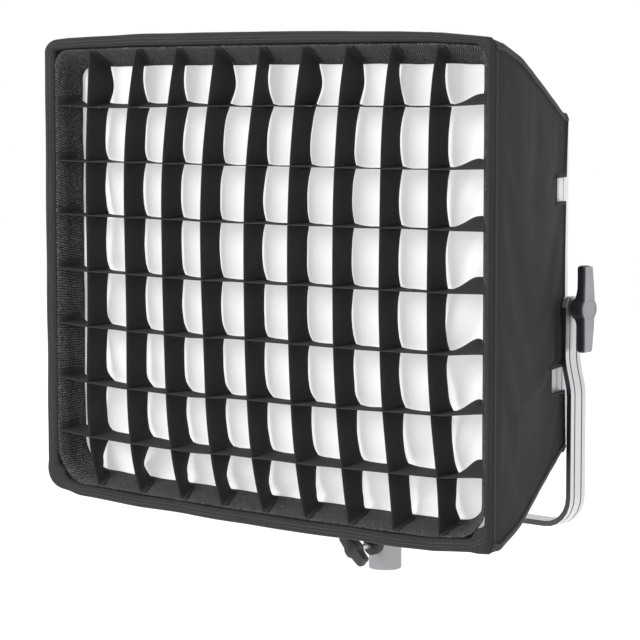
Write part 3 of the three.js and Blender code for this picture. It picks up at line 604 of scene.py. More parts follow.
def metal(name, shade, roughness=0.32, brush=(1, 1, 40), scale=300, edge=0.35 * MM, metallic=1.0):
    """Metal with a fine grain drawn along one way."""
    made = Shader(name, roughness=roughness, metallic=metallic)
    place = made.object_vector()
    lines = made.noise(place, scale, 3, 0.6, stretch=brush)
    cloud = made.noise(place, 12, 3, 0.5)
    made.mottle(cloud, shade, 0.94, 1.05)
    made.roughness(made.ramp(lines, (0.3, roughness - 0.05), (0.7, roughness + 0.07)))
    made.bump(lines, 0.02 * MM, 0.35, edge)
    return made.material


def anodised_yoke():
    """Satin anodised bar, silver, with a painted dark reflection on its front and rear edge faces and painted
    shade in its grooves.
    """
    made = Shader("anodised_yoke", roughness=0.36, metallic=0.9)
    place = made.object_vector()
    split = made.node("ShaderNodeSeparateXYZ")
    made.link(place, split.inputs[0])
    # Distance from the bar's middle plane, in fiftieths of a metre.
    off_middle = made.math("MULTIPLY", made.math("ABSOLUTE", split.outputs[1]), 50)
    # Painted dark reflection on the front and rear edge faces, where the silver would mirror the black cloth
    # beside it.
    edge = made.ramp(off_middle, (0.557, 0.0), (0.563, 1.0))
    # Painted shade in a groove on each side of the middle of every face.
    groove_shade = made.ramp(off_middle, (0.215, 0.0), (0.228, 1.0), (0.297, 1.0), (0.31, 0.0))
    lines = made.noise(place, 300, 3, 0.6, stretch=(1, 60, 1))
    base = made.node("ShaderNodeMix", data_type="RGBA")
    dark = made.node("ShaderNodeMix", data_type="RGBA")
    made.link(made.math("MULTIPLY", groove_shade, 0.65), dark.inputs[0])
    dark.inputs[6].default_value = (0.60, 0.61, 0.62, 1)
    dark.inputs[7].default_value = (0.10, 0.10, 0.105, 1)
    made.link(edge, base.inputs[0])
    made.link(dark.outputs[2], base.inputs[6])
    # The colour of the painted dark reflection on the edges.
    base.inputs[7].default_value = (0.075, 0.077, 0.08, 1)
    made.colour(base.outputs[2])
    made.roughness(made.ramp(lines, (0.3, 0.3), (0.7, 0.44)))
    made.bump(lines, 0.02 * MM, 0.3, 0.5 * MM)
    return made.material


def opal_sheet():
    made = Shader("opal_sheet", roughness=0.35)
    cloud = made.noise(made.object_vector(), 8, 2)
    made.colour(made.ramp(cloud, (0.3, (0.86, 0.86, 0.84)), (0.7, (0.9, 0.9, 0.88))))
    made.bump(made.noise(made.object_vector(), 1200, 1), 0.03 * MM, 0.3)
    return made.material


def circuit_board(name, shade, trace):
    """A circuit board with faint tracks under its mask."""
    made = Shader(name, roughness=0.4)
    cells = made.node("ShaderNodeTexVoronoi", Scale=160, distance="CHEBYCHEV")
    made.link(made.object_vector(), cells.inputs["Vector"])
    made.colour(made.ramp(cells.outputs["Distance"], (0.35, shade), (0.45, trace)))
    made.bump(cells.outputs["Distance"], 0.05 * MM, 0.3)
    return made.material


def smoked_glass():
    made = Shader("smoked_glass", roughness=0.08)
    cloud = made.noise(made.object_vector(), 40, 2)
    made.colour(made.ramp(cloud, (0.3, (0.008, 0.010, 0.014)), (0.7, (0.014, 0.016, 0.02))))
    made.roughness(made.ramp(cloud, (0.3, 0.06), (0.7, 0.14)))
    return made.material


NYLON = nylon("black_nylon", (0.0158, 0.0158, 0.0162))
RIM_NYLON = nylon("rim_nylon", (0.0195, 0.0195, 0.020), 1.5 * MM, worn=1.0)
BINDING = nylon("binding_tape", (0.0165, 0.0165, 0.017), 1.6 * MM, worn=0.6)
# The corner seams' tape is the binding tape painted lighter: a painted highlight on its top side, which faces
# the light.
HIGHLIT_SEAM_TAPE = nylon("seam_tape", (0.030, 0.030, 0.031), 1.6 * MM, worn=0.6)
LOOP_TAPE = loop_tape("loop_tape")
RIBBON = ribbon_cloth("black_ribbon", (0.0205, 0.0198, 0.0196))
# The level ribbons are the same ribbon painted a little lighter: a painted highlight for their front edges,
# which catch the light.
RIBBON_LEVEL_HIGHLIT = ribbon_cloth("black_ribbon_level", (0.024, 0.024, 0.025))
WHITE_CLOTH = white_cloth("white_cloth")
THREAD = plain_thread("black_thread", (0.05, 0.05, 0.052))
SILVER = metal("silver_metal", (0.70, 0.71, 0.73), 0.46, brush=(1, 1, 1), metallic=0.6)
RECEIVER = metal("receiver_metal", (0.33, 0.335, 0.345), 0.42, brush=(1, 1, 30))
SINK = metal("sink_metal", (0.5, 0.51, 0.52), 0.4)
STEEL = metal("bright_steel", (0.55, 0.56, 0.58), 0.25, brush=(40, 1, 1))
SPRING = metal("spring_steel", (0.4, 0.41, 0.42), 0.3)
YOKE = anodised_yoke()
BLACK_PLASTIC = plastic("black_plastic", (0.016, 0.016, 0.017))
KNOB_PLASTIC = plastic("knob_plastic", (0.021, 0.021, 0.022), 0.42)
GREY_PLASTIC = plastic("grey_plastic", (0.235, 0.24, 0.258), 0.42, depth=0.03 * MM)
RUBBER = plastic("black_rubber", (0.012, 0.012, 0.012), 0.8, depth=0.08 * MM)
PAINT = plastic("black_paint", (0.02, 0.02, 0.021), 0.55, grain=700, depth=0.12 * MM)
OPAL = opal_sheet()
BOARD_WHITE = circuit_board("board_white", (0.78, 0.78, 0.76), (0.70, 0.69, 0.62))
BOARD_GREEN = circuit_board("board_green", (0.02, 0.11, 0.055), (0.03, 0.16, 0.08))
POINTER = plain_thread("white_paint", (0.7, 0.7, 0.7))
GLASS = smoked_glass()
FIBRE = plastic("glass_fibre", (0.62, 0.58, 0.45), 0.5, edge=0.1 * MM)


# ---------- shell of the softbox ----------

def rectangle_ring(half_width, half_height, radii, steps, straight=(80, 100)):
    """Points (x, z) and outward directions round a rectangle with round corners.
    steps is the number of steps in a corner, straight the number up a side and across the top."""
    signs = [(1, -1), (1, 1), (-1, 1), (-1, -1)]
    points, outs = [], []
    for corner, (sx, sz) in enumerate(signs):
        radius = radii[corner]
        centre = (sx * (half_width - radius), sz * (half_height - radius))
        for i in range(steps + 1):
            angle = math.radians(-90 + 90 * corner + 90 * i / steps)
            points.append((centre[0] + radius * math.cos(angle), centre[1] + radius * math.sin(angle)))
            outs.append((math.cos(angle), math.sin(angle)))
        following = (corner + 1) % 4
        fx, fz = signs[following]
        angle = math.radians(90 * corner)
        out = (math.cos(angle), math.sin(angle))
        end = (
            fx * (half_width - radii[following]) + radii[following] * out[0],
            fz * (half_height - radii[following]) + radii[following] * out[1],
        )
        start = points[-1]
        count = straight[corner % 2]
        for i in range(1, count):
            share = i / count
            points.append((mix(start[0], end[0], share), mix(start[1], end[1], share)))
            outs.append(out)
    return points, outs


def shell_half(depth):
    """Half width and half height of the shell at a depth behind the front."""
    start = (HALF_WIDTH - COLLAR_TAPER * COLLAR_DEPTH, HALF_HEIGHT - COLLAR_TAPER * COLLAR_DEPTH)
    if depth <= COLLAR_DEPTH:
        return HALF_WIDTH - COLLAR_TAPER * depth, HALF_HEIGHT - COLLAR_TAPER * depth
    share = min((depth - COLLAR_DEPTH) / (SLEEVE_START - COLLAR_DEPTH), 1)
    return mix(start[0], SLEEVE_HALF_WIDTH, share), mix(start[1], SLEEVE_HALF_HEIGHT, share)


def shell_drop(depth):
    return -SLEEVE_DROP * min(depth / SLEEVE_START, 1)


def shell_radius(corner, depth):
    return mix(SHELL_RADIUS[corner] - 1.5 * MM, REAR_RADIUS, ease((depth - HEM_DEPTH) / RADIUS_FADE))


# The middle share of a side's height where its columns run parallel, and where that has faded out.
PARALLEL_TO = 0.33
PARALLEL_FADE = 0.15

# Each side's own turn about Y in degrees, with its first and last corner.
SIDES = {
    "right": (0, BOTTOM_RIGHT, TOP_RIGHT),
    "top": (90, TOP_RIGHT, TOP_LEFT),
    "left": (180, TOP_LEFT, BOTTOM_LEFT),
    "bottom": (270, BOTTOM_LEFT, BOTTOM_RIGHT),
}


def side_point(side, depth, along, proud=0.0):
    """A point on one side of the shell and its outward direction.
    along is ("arc0", share), ("flat", share) or ("arc1", share)."""
    turn, first, last = SIDES[side]
    half_width, half_height = shell_half(depth)
    reach, half = (half_width, half_height) if turn % 180 == 0 else (half_height, half_width)
    part, share = along
    r0, r1 = shell_radius(first, depth), shell_radius(last, depth)
    if turn % 180 == 0:
        parallel = FLAT_HALF / (half - (r0 + r1) / 2)
        fade = ease((abs(share - 0.5) - PARALLEL_TO) / PARALLEL_FADE)
        share = 0.5 + (share - 0.5) * mix(parallel, 1, fade)
    if part == "flat":
        local = (reach + proud, mix(-(half - r0), half - r1, share))
        angle = 0.0
    else:
        radius = r0 if part == "arc0" else r1
        angle = math.radians(-45 + 45 * share if part == "arc0" else 45 * share)
        end = -(half - r0) if part == "arc0" else half - r1
        local = (
            reach - radius + (radius + proud) * math.cos(angle),
            end + (radius + proud) * math.sin(angle),
        )
    t = math.radians(turn)
    x = local[0] * math.cos(t) - local[1] * math.sin(t)
    z = local[0] * math.sin(t) + local[1] * math.cos(t)
    point = drape((x, FRONT_Y + depth, CENTRE_Z + z + shell_drop(depth)))
    return point, (math.cos(t + angle), 0, math.sin(t + angle))


PIVOT_OFFSET = PIVOT.z - CENTRE_Z
PIVOT_DEPTH = -FRONT_Y
PIVOT_CUTOUT = 9.2 * MM
NOTCH_HALF = 11 * MM
NOTCH_OFFSET = 87 * MM
# Each cut in a side panel's rear edge: its middle above the centre, its half height, and the depth
# where it starts. The round one at the pivot has no straight start.
CUTS = [
    (-NOTCH_OFFSET - SLEEVE_DROP, NOTCH_HALF, 154 * MM),
    (PIVOT_OFFSET, PIVOT_CUTOUT, None),
    (NOTCH_OFFSET - SLEEVE_DROP, NOTCH_HALF, 165.5 * MM),
]
FLAT_HALF = SLEEVE_HALF_HEIGHT - REAR_RADIUS
REAR_DRAW = 3.2 * MM


def cut_spans(side):
    """Each cut of a panel as (low share, high share, depth), or nothing for the top and bottom."""
    if side in ("top", "bottom"):
        return []
    sign = 1 if side == "right" else -1
    spans = []
    for middle, half, depth in CUTS:
        ends = sorted(sign * (middle + SLEEVE_DROP + s * half) / (2 * FLAT_HALF) + 0.5 for s in (-1, 1))
        spans.append((*ends, depth))
    return sorted(spans, key=lambda span: span[0])


def cut_depth(side, share):
    """Depth at which a column of a panel meets its cut, or where the panel turns straight."""
    for low, high, depth in cut_spans(side):
        if low - 1e-6 <= share <= high + 1e-6:
            if depth:
                return depth
            across = (share - (low + high) / 2) * 2 * FLAT_HALF
            return PIVOT_DEPTH - math.sqrt(max(PIVOT_CUTOUT ** 2 - across ** 2, 0))
    return SLEEVE_START


def rear_edge(side, along):
    """Depth of the rear edge, which is drawn forwards a little between the corners."""
    part, share = along
    if part != "flat" or side in ("top", "bottom"):
        return REAR_Y
    return REAR_Y - REAR_DRAW * math.sin(math.pi * share) ** 0.8


CREASE = 0.6 * MM
# Depths of the first rows of a panel, in the collar.
COLLAR_ROWS = [HEM_DEPTH - 1 * MM, 16 * MM, 21 * MM, COLLAR_DEPTH]
SLOPE_ROWS = 26
REAR_ROWS = 3
CUT_ROW = len(COLLAR_ROWS) - 1 + SLOPE_ROWS
CORNER_COLUMNS = 3
FLAT_COLUMNS = 40
# No other column stands closer to a cut than this share of the side.
CUT_GAP = 0.012


def panel_columns(side):
    """Where a panel's columns lie across it."""
    steps = CORNER_COLUMNS
    flat = [i / FLAT_COLUMNS for i in range(FLAT_COLUMNS + 1)]
    for low, high, depth in cut_spans(side):
        flat = [f for f in flat if not low - CUT_GAP < f < high + CUT_GAP]
        inside = 6 if depth else 12
        flat += [mix(low, high, (1 - math.cos(math.pi * i / inside)) / 2) for i in range(inside + 1)]
    columns = [("arc0", i / steps) for i in range(steps)]
    columns += [("flat", f) for f in sorted(flat)]
    return columns + [("arc1", (i + 1) / steps) for i in range(steps)]


def panel_depths(side, along):
    """Depths of a column's rows: first the collar, then to the cut, then to the rear edge."""
    cut = cut_depth(side, along[1]) if along[0] == "flat" else SLEEVE_START
    rear = max(rear_edge(side, along), cut + 0.4 * MM)
    depths = list(COLLAR_ROWS)
    depths += [mix(COLLAR_DEPTH, cut, (i + 1) / SLOPE_ROWS) for i in range(SLOPE_ROWS)]
    return depths + [mix(cut, rear, (i + 1) / REAR_ROWS) for i in range(REAR_ROWS)]


def make_panel(side):
    columns = panel_columns(side)
    depths = [panel_depths(side, along) for along in columns]
    rows = []
    for i in range(CUT_ROW + REAR_ROWS + 1):
        row = []
        for (part, share), places in zip(columns, depths):
            depth = places[i]
            point, out = side_point(side, depth, (part, share))
            loose = ease((depth - COLLAR_DEPTH) / (30 * MM)) * ease((SLEEVE_START - depth) / (30 * MM))
            crease = wander(3, *point, size=60 * MM) * CREASE * loose if part == "flat" else 0
            row.append([p + o * crease for p, o in zip(point, out)])
        rows.append(row)
    spans = cut_spans(side)

    def gaps(i, j):
        if i < CUT_ROW or columns[j][0] != "flat" or columns[j + 1][0] != "flat":
            return False
        middle = (columns[j][1] + columns[j + 1][1]) / 2
        return any(low < middle < high for low, high, _ in spans)

    name = f"softbox_panel_{side}"
    obj = sheet_mesh(name, rows, NYLON, gaps=gaps)
    last = len(columns) - 4
    hold(obj, lambda i, j: i < 4 or i >= CUT_ROW or j < 4 or j >= last)
    return obj


def panel_cut(side):
    """The flat size a panel was cut to, with its area less its cuts."""
    front, rear = shell_half(HEM_DEPTH), shell_half(REAR_Y)
    axis = 1 if side in ("left", "right") else 0
    slope = math.hypot(REAR_Y - HEM_DEPTH, front[1 - axis] - rear[1 - axis])
    area = (front[axis] + rear[axis]) * slope
    for _, half, depth in CUTS if axis else []:
        area -= 2 * half * (REAR_Y - (depth or PIVOT_DEPTH - PIVOT_CUTOUT * math.pi / 4))
    return (2 * front[axis], slope), area


# ---------- cloth simulation ----------

def settle(pieces, frames):
    """Lets pieces of cloth settle between their held edges, and keeps the shapes they reach.
    Each piece is (object, growth, gravity, stiffness)."""
    scene = bpy.context.scene
    for obj, growth, gravity, stiffness in pieces:
        cloth = obj.modifiers.new("cloth", "CLOTH")
        settings = cloth.settings
        settings.quality = 6
        settings.mass = 0.15
        settings.tension_stiffness = stiffness
        settings.compression_stiffness = stiffness
        settings.shear_stiffness = stiffness / 2
        settings.bending_stiffness = 0.4
        settings.air_damping = 3
        settings.vertex_group_mass = "held"
        settings.shrink_min = -growth
        settings.effector_weights.gravity = gravity
        cloth.collision_settings.use_collision = False
        cloth.point_cache.frame_start = 1
        cloth.point_cache.frame_end = frames
    for number in range(1, frames + 1):
        scene.frame_set(number)
    view = bpy.context.evaluated_depsgraph_get()
    for obj, *_ in pieces:
        settled = [v.co.copy() for v in obj.evaluated_get(view).data.vertices]
        obj.modifiers.remove(obj.modifiers["cloth"])
        for vertex, place in zip(obj.data.vertices, settled):
            vertex.co = place
        obj.data.update()
    scene.frame_set(1)


# ---------- diffuser ----------

def diffuser_folds(x, z):
    """How far the slack cloth stands back from its flat plane."""
    top = (z + HALF_HEIGHT) / (2 * HALF_HEIGHT)
    swing = 26 * MM * wander(5, z * 0.6, x * 0.3, size=150 * MM)
    folds = 0.0
    for number, (wave, tall) in enumerate(((131 * MM, 2.6), (83 * MM, 1.5), (197 * MM, 2.2))):
        drift = swing + 30 * MM * wander(8 + number, x, z * 0.4, size=120 * MM)
        folds += tall * math.cos(2 * math.pi * (x + drift) / wave + number)
    slant = 1.6 * wander(25, x + z, (x - z) * 0.3, size=60 * MM) * ease(x / HALF_WIDTH)
    pulls = 1.5 * wander(21, x, z * 0.5, size=38 * MM) * (1 - top) ** 1.2
    lumps = 0.7 * wander(31, x, z, size=26 * MM) * (1 - top) ** 2
    return (folds * (0.3 - 0.1 * top) + pulls + lumps + slant) * MM


# The visible cloth keeps this far inside the CAD cloth's outline, clear of the side panels.
DIFFUSER_INSET = (2 * MM, 1.5 * MM)
DIFFUSER_CORNER = 30 * MM
# How far behind the CAD cloth's plane the slack cloth stands, and how near the edge it starts to.
DIFFUSER_STAND = 4.5 * MM
DIFFUSER_EDGE = 16 * MM


def make_diffuser():
    half_width = CLOTH_HIGH.x - DIFFUSER_INSET[0]
    half_height = (CLOTH_HIGH.z - CLOTH_LOW.z) / 2 - DIFFUSER_INSET[1]
    middle = (CLOTH_HIGH.y + CLOTH_LOW.y) / 2
    corner = DIFFUSER_CORNER
    rows = []
    across, down = 100, 80
    for i in range(down + 1):
        row = []
        for j in range(across + 1):
            u, v = 2 * j / across - 1, 2 * i / down - 1
            x, z = u * half_width, v * half_height
            cx, cz = max(abs(x) - half_width + corner, 0), max(abs(z) - half_height + corner, 0)
            if cx and cz and math.hypot(cx, cz) > corner:
                pull = corner / math.hypot(cx, cz)
                x = math.copysign(half_width - corner + cx * pull, x)
                z = math.copysign(half_height - corner + cz * pull, z)
            edge = min(half_width - abs(x), half_height - abs(z))
            stand = DIFFUSER_STAND + diffuser_folds(x, z)
            row.append((x, middle + stand * ease(edge / DIFFUSER_EDGE), CENTRE_Z + z))
        rows.append(row)
    obj = sheet_mesh("diffuser_sheet", rows, WHITE_CLOTH)
    hold(obj, lambda i, j: i in (0, down) or j in (0, across))
    return obj


# ---------- rim ----------

HOOP_RADIUS = (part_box("front_hoop")[1].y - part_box("front_hoop")[0].y) / 2


# Seams pressed into the roll's section, as turns in degrees, and where its two rows of stitches run.
RIM_SEAMS = (196, 176)
RIM_STITCHES = (-1.6 * MM, 1.3 * MM)


def make_rim():
    """The rolled front rim, its stitches and the spring hoop inside it, which is returned."""
    inset = HEM_WIDTH / 2
    radii = [r - inset for r in RIM_RADIUS]
    points, outs = rectangle_ring(HALF_WIDTH - inset, HALF_HEIGHT - inset, radii, 10)
    path, outward = [], []
    for (x, z), (ox, oz) in zip(points, outs):
        push = 0.8 * MM * wander(1, x, z, size=55 * MM) - 0.5 * MM
        lean = 0.6 * MM * wander(2, x, z, size=50 * MM)
        path.append((x + ox * push, FRONT_Y + HEM_DEPTH / 2 + lean, CENTRE_Z + z + oz * push))
        outward.append((ox, 0, oz))
    half = HEM_WIDTH / 2 - 0.3 * MM
    deep = HEM_DEPTH / 2 - 0.4 * MM
    section = []
    for a, b in oval(deep, half, 2.5, 40):
        angle = math.atan2(b / half, a / deep)
        pinch = 0.0
        for seam in RIM_SEAMS:
            gap = abs((angle - math.radians(seam) + math.pi) % (2 * math.pi) - math.pi)
            pinch += 0.07 * math.exp(-((gap / 0.09) ** 2))
        section.append((a * (1 - pinch), b * (1 - pinch)))

    def size(i):
        across, _, up = outward[i]
        corners = (BOTTOM_RIGHT, TOP_RIGHT) if across > 0 else (BOTTOM_LEFT, TOP_LEFT)
        fill = RIM_FILL[corners[up > 0]]
        return 1, 1 + fill * abs(2 * across * up) ** 1.5

    rim = sweep("rim_roll", path, outward, section, RIM_NYLON, closed=True, size=size)
    dress(move_points(rim, drape), "softbox", "black_nylon", "front_hem")
    wire = sweep("rim_hoop", path, outward, oval(HOOP_RADIUS, HOOP_RADIUS, 2, 10), SPRING, closed=True)
    dress(move_points(wire, drape), "softbox", "spring_steel", "front_hoop")
    for number, offset in enumerate(RIM_STITCHES):
        seam_path = []
        for (x, _, z), out in zip(path, outward):
            y = FRONT_Y + 0.55 * MM + 0.3 * MM * wander(2, x, z, size=50 * MM)
            seam_path.append((x + out[0] * offset, y, z + out[2] * offset))
        row = stitch_row(f"rim_stitches_{number + 1}", seam_path, [(0, -1, 0)] * len(path), closed=True)
        dress(move_points(row, drape), "softbox", "black_nylon")
    return wire


# ---------- edges and seams of the panels ----------

BINDING_INSET = 1.6 * MM


def outline_path(side):
    """The panel's rear edge with its cuts, as points and outward directions."""
    inset = BINDING_INSET
    gap = inset / (2 * FLAT_HALF)

    def rear(share):
        return rear_edge(side, ("flat", share)) - inset

    stops = [("arc0", 0.0, REAR_Y - inset), ("arc0", 0.5, REAR_Y - inset)]
    edge = 0.0
    for low, high, depth in cut_spans(side):
        stops += [("flat", mix(edge, low - gap, i / 8), rear(mix(edge, low - gap, i / 8))) for i in range(8)]
        if depth:
            stops += [
                ("flat", low - gap * 1.3, rear(low)),
                ("flat", low - gap, rear(low) - inset * 0.4),
                ("flat", low - gap, depth),
                ("flat", low - gap * 0.7, depth - inset),
                ("flat", high + gap * 0.7, depth - inset),
                ("flat", high + gap, depth),
                ("flat", high + gap, rear(high) - inset * 0.4),
                ("flat", high + gap * 1.3, rear(high)),
            ]
        else:
            for i in range(15):
                angle = math.pi * i / 14
                reach = PIVOT_CUTOUT + inset
                share = mix(low, high, 0.5) - reach * math.cos(angle) / (2 * FLAT_HALF)
                stops.append(("flat", share, PIVOT_DEPTH - reach * math.sin(angle)))
        edge = high + 2 * gap
    stops += [("flat", mix(edge, 1.0, i / 8), rear(mix(edge, 1.0, i / 8))) for i in range(9)]
    stops += [("arc1", 0.5, REAR_Y - inset), ("arc1", 1.0, REAR_Y - inset)]
    path, outward = [], []
    for part, share, depth in stops:
        point, out = side_point(side, depth, (part, share))
        path.append(point)
        outward.append(out)
    return path, outward


def make_edge_binding(side):
    path, outward = outline_path(side)
    binding = sweep(f"edge_binding_{side}", path, outward, oval(1.9 * MM, 1.15 * MM, 2.6, 12), BINDING)
    dress(move_points(binding, clear_of_yoke), "softbox", "black_nylon")


# Where the two rows of stitches run across a corner's tape.
SEAM_STITCHES = (-2.4 * MM, 2.4 * MM)


def make_corner_seam(corner, name):
    """The bound seam that runs down a corner of the shell, a flat doubled tape."""
    side = "right" if corner in (BOTTOM_RIGHT, TOP_RIGHT) else "left"
    part = "arc1" if corner in (TOP_RIGHT, BOTTOM_LEFT) else "arc0"
    share = 0.55 if part == "arc1" else 0.45
    path, outward = [], []
    steps = 46
    for i in range(steps + 1):
        depth = mix(HEM_DEPTH + 0.5 * MM, REAR_Y - 1.5 * MM, i / steps)
        wave = 0.7 * MM * wander(40 + corner, depth, size=22 * MM) * ease(i / 6)
        point, out = side_point(side, depth, (part, share), 0.9 * MM + wave)
        path.append(point)
        outward.append(out)

    def size(i):
        spread = 1 + 0.12 * wander(50 + corner, i, size=4)
        return spread, 1 + 0.25 * wander(60 + corner, i, size=3)

    section = oval(4.0 * MM, 1.3 * MM, 3.0, 16)
    tape = sweep(f"corner_seam_{name}", path, outward, section, HIGHLIT_SEAM_TAPE, size=size)
    dress(move_points(tape, clear_of_yoke), "softbox", "black_nylon")
    for number, offset in enumerate(SEAM_STITCHES):
        row_path = []
        for i, (point, out) in enumerate(zip(path, outward)):
            tangent = np.array(path[min(i + 1, steps)]) - np.array(path[max(i - 1, 0)])
            across = np.cross(tangent / np.linalg.norm(tangent), out)
            row_path.append(np.array(point) + across * offset + np.array(out) * 1.15 * MM)
        row = stitch_row(f"corner_stitches_{name}_{number + 1}", row_path, outward)
        dress(row, "softbox", "black_nylon")


def ring_at(depth, proud):
    """Points and outward directions round the whole shell at one depth."""
    path, outward = [], []
    for side in SIDES:
        stops = [("arc0", i / 4) for i in range(4)]
        stops += [("flat", i / 30) for i in range(30)]
        stops += [("arc1", i / 4) for i in range(4)]
        for stop in stops:
            point, out = side_point(side, depth, stop, proud)
            path.append(point)
            outward.append(out)
    return path, outward


# The collar tape's rows as (depth, height above the panel) in millimetres; it starts inside the roll.
COLLAR_TAPE = [(6, -2.6), (9, -1.6), (11.2, 0.2), (12.5, 0.55), (14, 0.55), (15.5, 0.55), (16.6, 0.1)]


def make_collar():
    """The tape sewn round the shell just behind the rim, with its row of stitches."""
    rows = [ring_at(depth * MM, PANEL_SHEET / 2 + height * MM)[0] for depth, height in COLLAR_TAPE]
    tape = thicken(sheet_mesh("collar_tape", rows, BINDING, wrap=True), 1.0 * MM)
    dress(tape, "softbox", "black_nylon")
    path, outward = ring_at(14.4 * MM, PANEL_SHEET / 2 + 1.05 * MM)
    row = stitch_row("collar_stitches", path, outward, closed=True)
    dress(row, "softbox", "black_nylon")
    return tape


# ---------- egg-crate grid ----------

def band_half(depth):
    """Half width and half height of the grid's band, which narrows towards the diffuser."""
    closing = BAND_TAPER * (depth - BAND_FRONT)
    return BAND_HIGH.x - closing, (BAND_HIGH.z - BAND_LOW.z) / 2 - closing


def make_band():
    """The loop tape band round the grid, its rear edge drawn in a little, by an amount that wanders along it.
    """
    rows = []
    steps = 8
    for i in range(steps + 1):
        share = i / steps
        depth = mix(BAND_FRONT, BAND_REAR, share)
        half_width, half_height = band_half(depth)
        inset = BAND_SHEET / 2
        points, outs = rectangle_ring(half_width - inset, half_height - inset, BAND_RADIUS, 10, (100, 125))
        row = []
        for (x, z), (ox, oz) in zip(points, outs):
            puff = -0.9 * MM * share ** 2 * (1 + wander(6, x, z, size=26 * MM))
            back = 0.9 * MM * share ** 3 * wander(7, x, z, size=30 * MM)
            row.append((x + ox * puff, FRONT_Y + depth - abs(back), CENTRE_Z + z + oz * puff))
        rows.append(row)
    band = move_points(sheet_mesh("grid_band_tape", rows, LOOP_TAPE, wrap=True), drape_grid)
    thicken(band, BAND_SHEET)
    return dress(band, "grid", "black_ribbon", "grid_band")


RIBBON_ROWS = 9
SLOT_ROW = RIBBON_ROWS // 2
CELL_STEPS = 14
SLOT_HALF = 0.7 * MM
TAB = 7.5 * MM
TAB_POINTS = (TAB, TAB * 0.6, TAB * 0.25)
TAB_FOLD = 0.1 * MM
# How far each upright's rear edge bulges and leans in the top cell, in millimetres.
TOP_BULGE = [7.0, -2.5, -2.5, 7.0, -3.0, 6.5, 4.5, -1.0, -2.0]
TOP_LEAN = [0, -16, -14, -3, -13, -3, -3, -12, -12]
# How far each upright's rear edge curls aside at the foot of each cell, from the bottom up.
CELL_CURL = [9, 10, 9.5, 6, 3.5, 3, 3.5, 1.5]
# How far from a crossing a curl reaches.
CURL_REACH = 12 * MM
BOTTOM_CURL_REACH = 15 * MM
# Where each upright's rear edge stands in the bottom cell, at its middle and at its tip.
BOTTOM_MIDDLE = [-15, -17, -13, -12, -11, -6, -3, -1, -4]
BOTTOM_TIP = [-24, -18.5, -19.5, -16.5, -13.5, -10.5, -6.5, -2.5, -2.5]


def ribbon_stations(crossings, half):
    """Stations along a ribbon from one end to the other, as (place, cell, share of the cell).
    Cell 0 and the last cell end at the band."""
    edges = [-half, *crossings, half]
    stations = []
    for cell in range(len(edges) - 1):
        low, high = edges[cell], edges[cell + 1]
        start = low + (SLOT_HALF if cell else 0)
        end = high - (SLOT_HALF if cell < len(edges) - 2 else 0)
        for i in range(CELL_STEPS + 1):
            stations.append((mix(start, end, i / CELL_STEPS), cell, i / CELL_STEPS))
    return stations


# Bow of six uprights in millimetres, from the bottom tip through the seven levels to the top tip.
BOW_COLUMNS = [0, 1, 2, 3, 4, 8]
BOWS = [
    [5, -10, -11, -10, -10.5, -9.8, -10.5, -8, -4.5],
    [10, -5.8, -8.1, -8.7, -9.9, -10.5, -10, -4.8, 7.6],
    [12, -4, -9.2, -10.7, -13.1, -13.3, -12, -5, 7.7],
    [11.5, -4.8, -9.9, -12.5, -15.5, -15, -13.5, -5.4, 5],
    [11, -4.4, -10.5, -11.7, -13.5, -13, -10, -2.5, 8],
    [6, 2, -2, -7.8, -9.5, -7, -6.5, -6.2, 4],
]
# Sag of each level at its middle and lift of its right end's rear edge, from the bottom up.
SAGS = [4, 3.5, 2.5, 1.5, 0, 0, 0]
LIFTS = [12.8, 10.5, 11.5, 12.5, 11, 8.5, 9]
LIFT_ENDS = [1.0, 0.72, 0.7, 1.0, 1.0, 0.7, 1.0]
# How far the rear edge of each level stands above its front edge, and the place where it stops doing so.
FLAT_FROM = [170, 0, 0, 0, 0, 0, -120]
LEVEL_HEIGHTS = [3.6, 0.5, 0.5, 0, 0, 0, 3.5]


def upright_bow(column, place):
    """How far the slack upright stands to one side at a height."""
    half = band_half(BAND_FRONT)[1]
    heights = [-half, *LEVEL_Z, half]
    found = [np.interp(column, BOW_COLUMNS, [bow[i] for bow in BOWS]) for i in range(len(heights))]
    shares = np.array(heights) / half
    fit = np.polyfit(shares, found, 5, w=[3, 1, 1, 1, 1, 1, 1, 1, 3])
    return float(np.polyval(fit, place / half)) * MM


# Places across the front, and how far each level stands above its sagging line there, from the bottom up.
LINE_PLACES = [-267, -225, -170, -130, -80, -30, 225, 267]
LINES = [
    [-2, -4.4, -4.4, -4.1, -3.8, -1.2, 0, 3.7],
    [-2, -4, -5.2, -4.6, -4.2, -1.4, 1.3, 6.5],
    [-1, -2, -2.5, -2, -2, 0.5, 1, 4.5],
    [0, -1, -1, -1, -1, 0, 1.5, 3],
    [0, 0, 0, 0, 0, 0, 2.5, 3.5],
    [0, 0, 0, 0, 0, 0, 1.5, 3],
    [0.5, -0.8, -0.8, 0.5, 1.2, 1.7, 3, 5.5],
]


def level_sag(level, place):
    """How far a level hangs below its straight line."""
    half = band_half(BAND_FRONT)[0]
    sag = SAGS[level] * max(math.cos(math.pi * place / (2 * half)), 0)
    return (sag - float(np.interp(place / MM, LINE_PLACES, LINES[level]))) * MM


def flare(distance, reach):
    """A curl that is full at the crossing and dies away from it."""
    return max(1 - distance / reach, 0.0) ** 2


